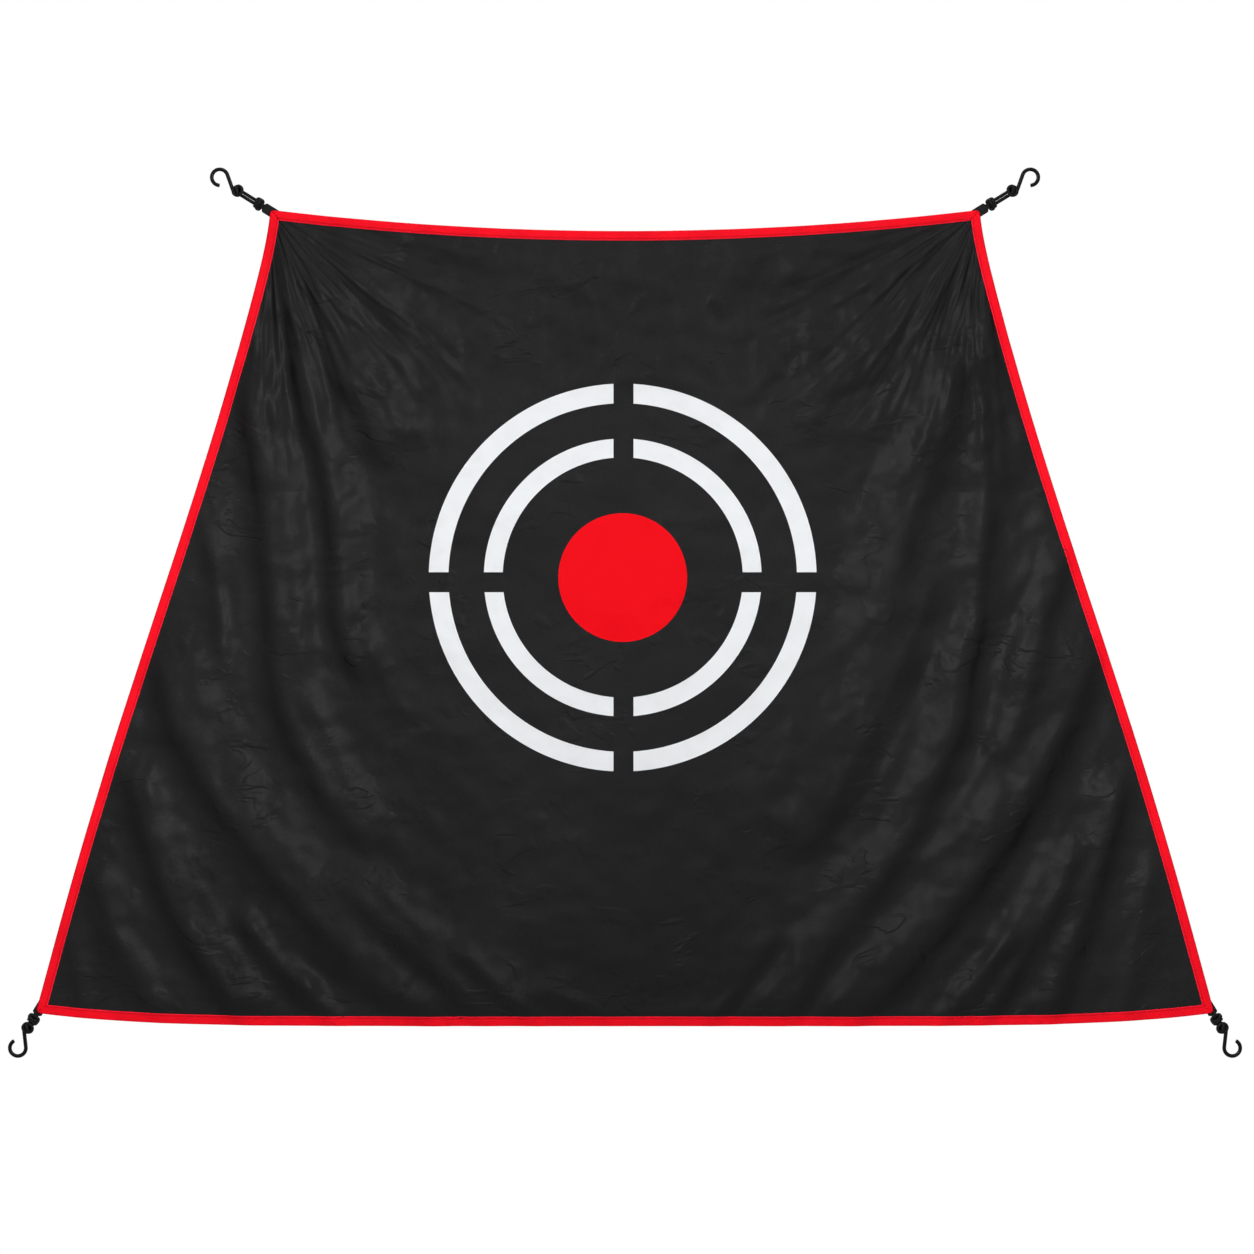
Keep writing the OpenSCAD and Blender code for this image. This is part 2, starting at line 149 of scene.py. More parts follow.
class BindingSettings(PropertyGroup):
    """Tape and stitches round the edge of the cloth."""

    width: length("Width", 12 * MM, "Width of the tape on each face")
    tape_t: length("Thickness", 0.55 * MM, "Thickness of the tape")
    loft: length("Loft", 1.0 * MM, "Middle of the tape from the middle of the cloth")
    corner_r: length("Corner radius", 5 * MM, "Rounding of the outer corners")
    stitch_in: length("Stitch line", 9.8 * MM, "From the outer edge to the stitches")
    pitch: length("Stitch pitch", 3.5 * MM, "Distance from stitch to stitch")
    stitch_l: length("Stitch length", 2.7 * MM, "Length of one stitch")
    thread_d: length("Thread", 0.5 * MM, "Diameter of the thread")
    red: colour("Tape", (0.92, 0.0050, 0.0165), "Dyed polyester tape")
    thread: colour("Thread", (0.30, 0.004, 0.008), "Sewing thread")


class FittingSettings(PropertyGroup):
    """Webbing tabs, elastic loops and wire hooks."""

    web_w: length("Webbing width", 13 * MM, "Width of the webbing")
    web_end_w: length("Gathered width", 6.4 * MM, "Width where it is gathered")
    web_t: length("Webbing thickness", 0.9 * MM, "Thickness of the webbing")
    cord_d: length("Elastic", 4.4 * MM, "Diameter of the elastic cord")
    wire_d: length("Wire", 5 * MM, "Diameter of the coated wire")
    black: colour("Fittings", (0.0065, 0.0065, 0.0070), "Black of the webbing and elastic")
    coating: colour("Coating", (0.0040, 0.0040, 0.0043), "Plastic coating of the wire")


class StageSettings(PropertyGroup):
    """Camera, lamps and floor."""

    lens: FloatProperty(name="Lens", default=135.0, min=20.0, max=300.0, unit="CAMERA",
                        description="Focal length on a sensor 36 mm wide")
    view_w: length("View width", 1.5967, "Width of the view at the cloth")
    aim_x: position("Aim X", 2.5 * MM, "The camera looks along Y at this X")
    aim_z: position("Aim Z", -20 * MM, "The camera looks along Y at this Z")
    key_power: power("Top lamp", 36.5, "Power of the lamp above the front")
    side_power: power("Side lamps", 10.6, "Power of each of the two crossed lamps")
    back_power: power("Back lamp", 240.0, "Power of the lamp behind the cloth")
    fill: FloatProperty(name="Fill", default=0.13, min=0.0, max=1.0, subtype="FACTOR",
                        description="Strength of the surround as a light")
    floor_z: position("Floor height", -1.0, "Height of the floor")
    floor_r: length("Floor radius", 4.6, "Radius of the round floor")
    floor_y: position("Floor middle", -3.5, "Middle of the floor along Y")
    floor: colour("Floor", (0.65, 0.65, 0.65), "Pale matt floor")


# ---- small maths ----


def smooth(t):
    """Smoothstep of a number or an array, held between 0 and 1."""
    t = np.clip(t, 0.0, 1.0)
    return t * t * (3.0 - 2.0 * t)


def smooth_path(points, steps=8, closed=False):
    """A Catmull-Rom curve through the points, with so many steps between two of them."""
    p = np.array(points, float)
    if closed:
        p = np.vstack([p[-1], p, p[:2]])
    else:
        p = np.vstack([2 * p[0] - p[1], p, 2 * p[-1] - p[-2]])
    t = np.linspace(0.0, 1.0, steps, endpoint=False)[:, None]
    spans = []
    for a, b, c, d in zip(p, p[1:], p[2:], p[3:]):
        spans.append(0.5 * (2 * b + (c - a) * t + (2 * a - 5 * b + 4 * c - d) * t ** 2
                            + (3 * b - a - 3 * c + d) * t ** 3))
    return np.vstack(spans + [p[-2][None]])


def distances(path):
    """Distance along a path at each of its points."""
    return np.concatenate([[0.0], np.cumsum(np.linalg.norm(np.diff(path, axis=0), axis=1))])


def directions(path):
    """The direction of a path at each of its points, with length 1."""
    along = np.gradient(path, axis=0)
    return along / np.linalg.norm(along, axis=1)[:, None]


def even_path(path, step):
    """The same path with its points a fixed distance apart."""
    along = distances(path)
    places = np.linspace(0.0, along[-1], max(2, round(along[-1] / step) + 1))
    return np.stack([np.interp(places, along, path[:, k]) for k in range(path.shape[1])], 1)


def arc(centre, radius, start, sweep, steps):
    """Points of an arc in a plane, by angles in degrees."""
    angles = np.radians(np.linspace(start, start + sweep, steps))
    return np.stack([centre[0] + radius * np.cos(angles),
                     centre[1] + radius * np.sin(angles)], 1)


# ---- outline and folds of the cloth ----

CORNER_RUN = 0.04  # share of the height over which the sides are drawn in


def half_w(v):
    """Half of the cloth's width at the share v of its height, from the top."""
    c = bpy.context.scene.target_cloth
    return (c.top_w / 2 + (c.bottom_w - c.top_w) / 2 * v
            - c.corner_draw * (1 - v) * (1 - np.exp(-v / CORNER_RUN))
            - c.side_wave * np.sin(2 * np.pi * v))


def top_edge(u):
    """Z of the top edge at the share u of its half width, from -1 to 1."""
    c = bpy.context.scene.target_cloth
    return c.height / 2 - c.top_sag * (1 - u * u)


def bottom_edge(u):
    """Z of the bottom edge at the share u of its half width."""
    c = bpy.context.scene.target_cloth
    return -c.height / 2 - c.bottom_drop * (1 - np.abs(u) ** 6)


def target_corner():
    """The upper right corner of the cloth."""
    c = bpy.context.scene.target_cloth
    return c.top_w / 2, c.height / 2


def target_middle():
    """Middle of the printed rings."""
    return (BULL[0][0] + BULL[1][0]) / 2, (BULL[0][2] + BULL[1][2]) / 2


# Folds of the cloth. Each has its height towards the front, its half widths on the side
# of the middle of the cloth and on the outer side, and the route of its crest (x, z), all
# in millimetres. A height below zero is a valley.
FOLDS = (
    # left side, from the top
    (3.5, 9, 7, ((-449, 508), (-428, 493), (-404, 459), (-357, 395), (-325, 360))),
    (4.5, 12, 9, ((-449, 508), (-436, 492), (-412, 452), (-392, 412), (-380, 385))),
    (14.0, 28, 13, ((-448, 500), (-436, 449), (-428, 404), (-419, 351), (-411, 302), (-400, 250),
        (-383, 190), (-371, 115), (-364, -5), (-350, -50), (-325, -100))),
    (11.0, 50, 16, ((-408, 445), (-387, 405), (-375, 346), (-353, 292), (-323, 223), (-290, 175))),
    (3.5, 50, 30, ((-390, 482), (-335, 430), (-300, 395), (-255, 355))),
    (4.5, 12, 10, ((-474, 385), (-465, 312), (-458, 282), (-450, 258), (-440, 205))),
    (2.5, 9, 7, ((-440, 455), (-447, 400), (-444, 345), (-436, 290))),
    (15.0, 36, 17, ((-492, 320), (-480, 272), (-472, 228), (-463, 175), (-455, 100), (-446, -5),
        (-438, -100), (-410, -175), (-365, -250), (-305, -310))),
    (6.0, 26, 11, ((-552, 150), (-532, 85), (-519, 30), (-515, -30), (-510, -90))),
    (4.0, 34, 22, ((-575, -20), (-545, -70), (-538, -110), (-520, -150))),
    (-1.8, 6, 5, ((-375, -250), (-325, -293), (-280, -335))),
    (3.0, 14, 12, ((-335, -20), (-322, -60), (-300, -100), (-262, -150))),
    # left side, to the bottom
    (14.0, 50, 18, ((-596, -40), (-572, -140), (-540, -200), (-495, -270), (-430, -350),
        (-365, -425), (-315, -470), (-250, -520), (-215, -550))),
    (13.0, 30, 15, ((-636, -180), (-615, -260), (-595, -320), (-570, -385), (-540, -435),
        (-500, -495), (-465, -550))),
    (7.0, 22, 12, ((-690, -310), (-665, -370), (-645, -425), (-615, -480), (-580, -550))),
    (9.0, 24, 12, ((-505, -370), (-455, -435), (-415, -475), (-350, -550))),
    (10.5, 30, 13, ((-385, -325), (-320, -385), (-265, -435), (-220, -480), (-165, -550))),
    (6.5, 24, 12, ((-235, -415), (-170, -470), (-90, -550))),
    (3.5, 16, 12, ((-140, -478), (-75, -495), (0, -535))),
    (4.0, 13, 11, ((-718, -385), (-700, -450), (-682, -550))),
    # right side, from the top
    (-5.0, 15, 15, ((449, 508), (435, 488), (395, 445), (355, 395), (310, 325))),
    (5.0, 14, 11, ((449, 508), (440, 475), (415, 425), (388, 385), (358, 335))),
    (3.5, 10, 9, ((450, 440), (437, 390), (425, 340), (420, 285), (408, 240))),
    (4.5, 9, 9, ((455, 405), (466, 345), (475, 285), (478, 225), (475, 150))),
    (12.0, 56, 19, ((428, 335), (410, 250), (390, 195), (370, 140), (352, 85), (333, 0),
        (322, -55))),
    (10.5, 20, 17, ((452, 390), (453, 285), (456, 225), (460, 165), (456, 100), (450, -5),
        (440, -60), (428, -130), (405, -200))),
    (8.5, 30, 13, ((574, 105), (550, 40), (534, -5), (522, -60), (505, -130), (478, -200))),
    (3.5, 26, 22, ((290, 492), (225, 440), (180, 395))),
    (3.0, 30, 22, ((215, 485), (150, 440), (95, 400))),
    (-2.0, 6, 6, ((345, 297), (290, 280), (250, 265), (185, 252))),
    # right side, to the bottom
    (9.0, 56, 19, ((400, 60), (378, -3), (341, -90), (306, -159), (266, -240), (210, -320))),
    (15.0, 54, 18, ((604, -25), (570, -115), (545, -175), (505, -250), (455, -325), (400, -400),
        (340, -465), (290, -520), (262, -550))),
    (11.0, 26, 14, ((640, -195), (620, -265), (605, -320), (585, -390), (550, -490), (530, -550))),
    (8.5, 22, 12, ((585, -290), (545, -375), (510, -435), (470, -500), (435, -550))),
    (7.5, 20, 11, ((520, -395), (460, -455), (420, -505), (385, -550))),
    (12.0, 34, 16, ((440, -10), (425, -90), (410, -170), (380, -240), (340, -315), (295, -380),
        (250, -435), (205, -510), (180, -550))),
    (7.0, 20, 11, ((200, -395), (160, -455), (120, -510), (95, -550))),
    (4.0, 10, 9, ((266, -400), (215, -455), (160, -510), (125, -550))),
    (4.5, 14, 13, ((680, -295), (665, -355), (655, -415), (640, -480), (630, -550))),
    (4.5, 12, 10, ((375, -405), (320, -455), (260, -510), (225, -550))),
    # top middle
    (3.0, 34, 26, ((-200, 478), (-110, 435), (-10, 420), (90, 433), (185, 475))),
)
FOLD_GAIN = 1.15
INNER_FALL = 1.5        # power by which a fold falls off on the side of the middle,
OUTER_FALL = 1.4        # and on its outer side,
DIP = 0.6               # where it also dips by this share of its height,
DIP_FROM = 5            # from this height in millimetres,
DIP_WIDTH = 3           # and over so many times its outer half width
WAVER = 0.5             # share of its height that a fold changes by along its crest,
WAVER_PITCH = 16        # so many times to a metre
END_FADE = 50 * MM      # a fold rises and ends over this distance,
CORNER_FADE = 12 * MM   # or over this, where it starts
CORNER_START = 30 * MM  # nearer than this to an upper corner
CORNER_FAN = 150 * MM   # nearer than this to one the folds lie close together,
FAN_WIDTH = 0.45        # down to this share of their width in the corner
FAN_HEIGHT = 0.6        # and this share of their height
CORNER_FLAT = 12 * MM   # the cloth is flat this near to each corner,
CORNER_RISE = 60 * MM   # and its folds rise over this distance from there
EDGE_SHARE = 0.4        # share of the folds' height that is left at the edge
EDGE_RUN = 36 * MM      # they are whole this far from the edge
TARGET_RUN = 70 * MM    # they rise over this distance round the flat target
CREASE_SHARE = 0.4      # share of the creases' height in the middle of the target
CREASE_RUN = 400 * MM   # they are whole this far from it
LARGE = 4               # from this height a fold has small ones beside it,
SMALL_STEP = 3.2        # one for every so many millimetres of height

# Creases all over the cloth: how many to a metre, a seed and their height in millimetres.
SOFT_CREASES = ((12.0, 1.3, 2.6), (36.0, 4.1, 1.6))
SHARP_CREASES = ((17.0, 2.2, -3.2), (44.0, 8.6, -1.8))


def wrinkles():
    """Small folds that run beside the large ones."""
    chance = random.Random(4)
    small = []
    for height, inner_w, _, route in FOLDS:
        toward_middle = 1 if route[len(route) // 2][0] < 0 else -1
        for _ in range(round(height / SMALL_STEP) if height > LARGE else 0):
            shift = chance.uniform(-1.1, 1.7) * inner_w * toward_middle
            first = chance.randrange(0, max(1, len(route) - 3))
            points = [(x + shift + chance.uniform(-3, 3), z + chance.uniform(-12, 12))
                      for x, z in route[first:first + chance.randint(3, 6)]]
            if len(points) > 2:
                small.append((chance.uniform(1.0, 2.4) * chance.choice((1, 1, -1)),
                              chance.uniform(7, 13), chance.uniform(6, 9), points))
    return small


ALL_FOLDS = (*FOLDS, *wrinkles())


def fold_height(fold, x, z):
    """Height of one fold at each of the points, in metres."""
    height, inner_w, outer_w, route = fold
    line = smooth_path(route) * MM
    along = distances(line)
    tangent = np.gradient(line, axis=0)
    middle_side = 1.0 if line[:, 0].mean() < 0 else -1.0
    reach = max(4 * inner_w, 7 * outer_w) * MM  # the fold is flat beyond it
    low, high = line.min(axis=0) - reach, line.max(axis=0) + reach
    near = (x > low[0]) & (x < high[0]) & (z > low[1]) & (z < high[1])
    px, pz = x[near, None] - line[:, 0], z[near, None] - line[:, 1]
    i = np.argmin(px * px + pz * pz, axis=1)
    row = np.arange(len(i))
    px, pz = px[row, i], pz[row, i]
    side = (px * -tangent[i, 1] + pz * tangent[i, 0]) * middle_side
    corner_x, corner_z = target_corner()
    fan = np.hypot(np.abs(line[:, 0]) - corner_x, line[:, 1] - corner_z)
    fanned = smooth(fan / CORNER_FAN)
    spread = FAN_WIDTH + (1 - FAN_WIDTH) * fanned
    waver = 1 + WAVER * np.array([
        noise.noise(Vector((s * WAVER_PITCH, height, route[0][0]))) for s in along])
    start_fade = CORNER_FADE if fan[0] < CORNER_START else END_FADE
    profile = (height * FOLD_GAIN * MM * (FAN_HEIGHT + (1 - FAN_HEIGHT) * fanned) * waver
               * smooth(along / start_fade) * smooth((along[-1] - along) / END_FADE))
    far = np.hypot(px, pz) / spread[i] / MM
    dip = DIP if height > DIP_FROM else 0.0
    flank = far / outer_w
    shape = np.where(side > 0, np.exp(-(far / inner_w) ** INNER_FALL),
                     (1 + dip) * np.exp(-flank ** OUTER_FALL)
                     - dip * np.exp(-(flank / DIP_WIDTH) ** 2))
    found = np.zeros(len(x))
    found[near] = profile[i] * shape
    return found


def edge_distance(x, z):
    """Distance of each point from the edge of the cloth."""
    c = bpy.context.scene.target_cloth
    v = np.clip((c.height / 2 - z) / c.height, 0.0, 1.0)
    half = half_w(v)
    u = np.clip(x / half, -1.0, 1.0)
    lean = math.cos(math.atan((c.bottom_w - c.top_w) / 2 / c.height))
    return np.minimum((half - np.abs(x)) * lean,
                      np.minimum(top_edge(u) - z, z - bottom_edge(u)))


def crumple(x, z):
    """Height of the small uneven creases all over the cloth, in metres."""
    def wave(scale, seed):
        return np.array([noise.noise(Vector((a * scale, seed, b * scale)))
                         for a, b in zip(x, z)])
    soft = sum(wave(scale, seed) * height for scale, seed, height in SOFT_CREASES)
    sharp = sum(np.abs(wave(scale, seed)) * height for scale, seed, height in SHARP_CREASES)
    return (soft + sharp) * MM


def cloth_depth(x, z):
    """Y of the middle of the cloth at each of the points; the front is below zero."""
    c = bpy.context.scene.target_cloth
    x, z = np.atleast_1d(x).astype(float), np.atleast_1d(z).astype(float)
    total = sum(fold_height(fold, x, z) for fold in ALL_FOLDS)
    total = c.deepest * np.tanh(total / c.deepest)
    middle_x, middle_z = target_middle()
    from_target = np.hypot(x - middle_x, z - middle_z)
    total = total * smooth((from_target - c.flat_r) / TARGET_RUN)
    creased = CREASE_SHARE + (1 - CREASE_SHARE) * smooth(from_target / CREASE_RUN)
    total = total + crumple(x, z) * creased
    total = total * (EDGE_SHARE + (1 - EDGE_SHARE) * smooth(edge_distance(x, z) / EDGE_RUN))
    for half, level in ((c.top_w / 2, c.height / 2), (c.bottom_w / 2, -c.height / 2)):
        from_corner = np.hypot(np.abs(x) - half, z - level)
        total = total * smooth((from_corner - CORNER_FLAT) / CORNER_RISE)
    return -total


# ---- mesh helpers ----


def mapped_grid(columns, rows, place, uv_scale=(1.0, 1.0), merge=False):
    """A grid whose points are put in place by place(u, v), on arrays from 0 to 1."""
    bm = bmesh.new()
    bmesh.ops.create_grid(bm, x_segments=columns, y_segments=rows, size=0.5)
    u = np.array([vert.co.x + 0.5 for vert in bm.verts])
    v = np.array([vert.co.y + 0.5 for vert in bm.verts])
    layer = bm.loops.layers.uv.new("pattern")
    for face in bm.faces:
        for loop in face.loops:
            i = loop.vert.index
            loop[layer].uv = (u[i] * uv_scale[0], v[i] * uv_scale[1])
    for vert, point in zip(bm.verts, np.stack(place(u, v), 1)):
        vert.co = point
    if merge:
        bmesh.ops.remove_doubles(bm, verts=bm.verts, dist=1e-6)
    return bm


def thicken(bm, thickness):
    """Gives a sheet its thickness, half to each side, and closes its rim."""
    bmesh.ops.recalc_face_normals(bm, faces=bm.faces)
    bm.normal_update()
    for vert, normal in [(vert, vert.normal.copy()) for vert in bm.verts]:
        vert.co += normal * thickness / 2
    bmesh.ops.solidify(bm, geom=bm.faces[:], thickness=thickness)
    bmesh.ops.recalc_face_normals(bm, faces=bm.faces)


def tube(path, radius, sides, closed=False, fillet=1.0):
    """A round bar along a path, with the radius at each point; a closed path is a ring.

    The ends are rounded off by the fillet, as a share of the radius."""
    tangent = directions(path)
    if closed:
        across_seam = path[1] - path[-2]
        tangent[0] = tangent[-1] = across_seam / np.linalg.norm(across_seam)
    start = np.cross(tangent[0], (0.0, 1.0, 0.0))
    if np.linalg.norm(start) < 0.1:
        start = np.cross(tangent[0], (1.0, 0.0, 0.0))
    across = [start / np.linalg.norm(start)]
    for t in tangent[1:]:
        side = across[-1] - t * across[-1].dot(t)
        across.append(side / np.linalg.norm(side))
    across = np.array(across)
    other = np.cross(tangent, across)
    along = distances(path)
    twist = 0.0
    if closed:
        twist = math.atan2(across[-1].dot(other[0]), across[-1].dot(across[0]))
    else:
        end = fillet * min(radius[0], radius[-1])
        turn = np.linspace(0, math.pi / 2, 6)
        cap = end * (1 - np.cos(turn))
        inner = along[(along > end * 1.1) & (along < along[-1] - end * 1.1)]
        places = np.concatenate([[0], cap, inner, along[-1] - cap[::-1], [along[-1]]])
        drawn_in = np.concatenate([[1], fillet * (1 - np.sin(turn)), 0 * inner,
                                   fillet * (1 - np.sin(turn[::-1])), [1]])
        path, across, other = (
            np.stack([np.interp(places, along, part[:, k]) for k in range(3)], 1)
            for part in (path, across, other))
        radius = np.interp(places, along, radius) * (1 - drawn_in)
        along = places
    rings = len(path) - 1

    def place(u, v):
        i = np.rint(u * rings).astype(int)
        angle = 2 * math.pi * v - twist * u
        ring = across[i] * np.cos(angle)[:, None] + other[i] * np.sin(angle)[:, None]
        return (path[i] + ring * radius[i][:, None]).T

    bm = mapped_grid(rings, sides, place, uv_scale=(along[-1] / MM, 1.0), merge=True)
    bmesh.ops.recalc_face_normals(bm, faces=bm.faces)
    return bm


def joined(parts):
    """One mesh from several."""
    whole = bmesh.new()
    for bm in parts:
        mesh = bpy.data.meshes.new("part")
        bm.to_mesh(mesh)
        bm.free()
        whole.from_mesh(mesh)
        bpy.data.meshes.remove(mesh)
    return whole


def add_object(name, bm, material):
    """Turns a mesh into an object of the scene."""
    mesh = bpy.data.meshes.new(name)
    bm.to_mesh(mesh)
    bm.free()
    mesh.materials.append(material)
    obj = bpy.data.objects.new(name, mesh)
    bpy.context.scene.collection.objects.link(obj)
    return obj


def piece(name, bm, material, body, nodes=()):
    """Makes a shaded piece that rides on a body, if any, and stands for nodes, if any."""
    obj = add_object(name, bm, material)
    obj.data.shade_smooth()
    if body:
        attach(obj, body)
    if nodes:
        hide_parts(*nodes)
    return obj


# ---- materials ----


class Value:
    """A number in a material; arithmetic on it adds Math nodes."""

    def __init__(self, recipe, socket):
        self.recipe = recipe
        self.socket = socket

    def math(self, operation, *others):
        """What a Math node makes of this value and the others."""
        return self.recipe.add("ShaderNodeMath", dict(enumerate((self, *others))),
                               operation=operation)

    def __add__(self, other):
        return self.math("ADD", other)

    def __sub__(self, other):
        return self.math("SUBTRACT", other)

    def __mul__(self, other):
        return self.math("MULTIPLY", other)

    def __rsub__(self, other):
        return self.math("MULTIPLY_ADD", -1.0, other)

    __radd__ = __add__
    __rmul__ = __mul__

    def wave(self, pitch):
        """A sine of this length, from 0 to 1, once in every pitch."""
        return (self * (2 * math.pi / pitch)).math("SINE") * 0.5 + 0.5


class Recipe:
    """The nodes of one material, or of the surround."""

    def __init__(self, name, kind="materials"):
        self.owner = getattr(bpy.data, kind).new(name)
        self.owner.use_nodes = True
        self.tree = self.owner.node_tree
        self.tree.nodes.clear()
        self.relief = {}

    def add(self, kind, sockets=None, output=0, **settings):
        """Adds a node with its settings first, then the values or links of its sockets."""
        node = self.tree.nodes.new(kind)
        for name, value in settings.items():
            setattr(node, name, value)
        for name, value in (sockets or {}).items():
            if isinstance(value, Value):
                self.tree.links.new(value.socket, node.inputs[name])
            else:
                node.inputs[name].default_value = value
        return Value(self, node.outputs[output])

    def at(self, kind="Object"):
        """The place on the surface, by the object's axes or by its pattern (UV)."""
        return self.add("ShaderNodeTexCoord", output=kind)

    def split(self, vector):
        """The X, Y and Z of a vector."""
        node = self.add("ShaderNodeSeparateXYZ", {0: vector}).socket.node
        return [Value(self, node.outputs[k]) for k in range(3)]

    def stretched(self, *scale):
        """The place with its own factor along each axis."""
        return self.add("ShaderNodeVectorMath", {0: self.at(), 1: scale},
                        operation="MULTIPLY")

    def noise(self, scale, detail=2.0, rough=0.5, distortion=0.0, at=None, kind="FBM"):
        """Noise of a scale, on the plain place unless another is given."""
        return self.add("ShaderNodeTexNoise", {
            "Vector": at or self.at(), "Scale": scale, "Detail": detail,
            "Roughness": rough, "Distortion": distortion}, noise_type=kind)

    def ramp(self, value, low, high):
        """0 below low and 1 above high, in a straight line between them."""
        return self.add("ShaderNodeMapRange",
                        {"Value": value, "From Min": low, "From Max": high})

    def mix(self, share, first, second):
        """A colour between two colours."""
        return self.add("ShaderNodeMix", {"Factor": share, "A": first, "B": second},
                        "Result", data_type="RGBA")

    def shades(self, share, tint, dark, light):
        """A colour between a darker and a lighter shade of a tint."""
        return self.mix(share, shade(tint, dark), shade(tint, light))

    def bump(self, height, distance, strength):
        """Adds fine relief on top of what there is."""
        self.relief = {"Normal": self.add("ShaderNodeBump", {
            "Height": height, "Distance": distance, "Strength": strength, **self.relief})}

    def finish(self, tint, rough, specular):
        """The material, once its surface and its relief are known."""
        return self.end(self.add("ShaderNodeBsdfPrincipled", {
            "Base Color": tint, "Roughness": rough,
            "Specular IOR Level": specular, **self.relief}))

    def end(self, surface, kind="Material"):
        """What the recipe was for, with its surface linked to its output."""
        out = self.tree.nodes.new(f"ShaderNodeOutput{kind}")
        self.tree.links.new(surface.socket, out.inputs["Surface"])
        return self.owner


def shade(tint, factor=1.0):
    """A colour with its alpha, made darker or lighter."""
    return (*(min(1.0, c * factor) for c in tint), 1.0)


def threads(m):
    """Height of fine uneven threads that run along X and along Z."""
    weft = m.noise(1.0, 1.0, at=m.stretched(60, 1, 900))
    warp = m.noise(1.0, 1.0, at=m.stretched(900, 1, 60))
    return weft.math("MAXIMUM", warp)


def creases(m):
    """Height, from 0 to 1, of short sharp creases here and there, mostly level."""
    line = m.noise(17.0, 3.0, 0.5, 0.6, at=m.stretched(0.7, 1, 1.5))
    here = m.ramp(m.noise(11.0, 3.0, 0.6), 0.53, 0.62)
    return m.ramp(line, 0.485, 0.525) * here


def rays(m, corner):
    """Height of the fine folds that spread from the two upper corners, in metres."""
    x, _, z = m.split(m.at())
    out = corner[0] - x.math("ABSOLUTE")
    down = corner[1] - z
    far = (out * out + down * down).math("SQRT")
    angle = out.math("ARCTAN2", down)
    place = m.add("ShaderNodeCombineXYZ", {
        "X": angle * 5.0, "Y": far * 5.0, "Z": x.math("SIGN") * 4.0})
    fold = m.noise(1.0, 2.0, 0.5, 0.3, at=place)
    fade = m.ramp(far, 0.0, 0.02) * (1 - m.ramp(far, 0.06, 0.36))
    steep = 1 - m.ramp(angle, 0.6, 1.3) * 0.7
    return m.ramp(fold, 0.3, 0.7) * fade * steep * (far + 0.02) * 0.09


def cloth_material(black):
    """Black polyester: fine threads with soft crinkles and a slight sheen."""
    m = Recipe("target_cloth")
    patches = m.noise(5.0, 4.0, 0.55)
    tone = m.ramp(patches * 0.6 + m.noise(260.0, 2.0, 0.6) * 0.4, 0.35, 0.65)
    m.bump(m.noise(90.0, 4.0, 0.65), 0.8 * MM, 0.5)
    m.bump(m.noise(24.0, 4.0, 0.55, 0.9, kind="RIDGED_MULTIFRACTAL"), 1.1 * MM, 0.45)
    m.bump(creases(m), 1.2 * MM, 0.8)
    m.bump(rays(m, target_corner()), 1.0, 1.0)
    m.bump(threads(m), 0.12 * MM, 0.5)
    return m.finish(m.shades(tone, black, 0.85, 1.15),
                    m.ramp(patches, 0.2, 0.8) * 0.08 + 0.31, 0.028)


def ink_material(name, ink, wear_and_shade):
    """Screen-printed ink that follows the threads, with faint patches of painted shade."""
    m = Recipe(name)
    # Patches of painted shade that stand in for the shade of wrinkles; they also change the
    # roughness.
    painted_shade_patches = m.ramp(m.noise(22.0, 5.0, 0.65), 0.52, 0.78)
    m.bump(m.noise(60.0, 3.0, 0.6), 0.4 * MM, 0.3)
    m.bump(threads(m), 0.1 * MM, 0.5)
    # In the patches the ink is darker by the given factor: painted shade.
    return m.finish(m.mix(painted_shade_patches * 0.5, shade(ink), shade(ink, wear_and_shade)), painted_shade_patches * 0.15 + 0.55,
                    0.03)


def tape_material(red, width, stitch_in):
    """Red tape: cross ribs, painted shade along the stitched dip and at the rounded fold, and a
    painted highlight along the selvage.

    The pattern's U runs along the edge in millimetres and V across the tape, from the
    front selvage at 0 round the fold at 0.5 to the back selvage at 1."""
    m = Recipe("binding_tape")
    along, across, _ = m.split(m.at("UV"))
    inward = (across - 0.5).math("ABSOLUTE") * 2
    ribs = along.wave(0.8)
    fade = m.noise(30.0, 4.0, 0.6)
    # Painted shade along the stitch line, where the tape is sewn down into a dip.
    stitch_line_shade = 1 - m.ramp((inward - stitch_in / width).math("ABSOLUTE"), 0.03, 0.12)
    # Painted shade on the rounded fold of the tape, where it turns away from the light.
    fold = 1 - m.ramp(inward, 0.02, 0.10)
    # Painted highlight along the selvage, in a paler red.
    selvage_highlight = m.ramp(inward, 0.93, 0.96)
    pale = (min(1.0, red[0] * 1.05), red[1] * 3.5, red[2] * 3.0, 1.0)
    ground = m.shades(m.ramp(fade, 0.3, 0.7), red, 0.90, 1.06)
    # The ground gets the painted shade at the stitch line and the fold, and the painted highlight
    # at the selvage.
    for share, tone in ((stitch_line_shade * 0.40, shade(red, 0.55)), (fold * 0.35, shade(red, 0.6)),
                        (selvage_highlight * 0.7, pale)):
        ground = m.mix(share, ground, tone)
    m.bump(ribs * 0.6 + fade * 0.4, 0.12 * MM, 0.6)
    return m.finish(ground, ribs * 0.1 + 0.55, 0.04)


def thread_material(name, dye):
    """Twisted sewing thread."""
    m = Recipe(name)
    twist = m.noise(900.0, 1.0, 0.5)
    m.bump(twist, 0.08 * MM, 0.5)
    return m.finish(m.shades(twist, dye, 0.7, 1.3), twist * 0.2 + 0.45, 0.08)


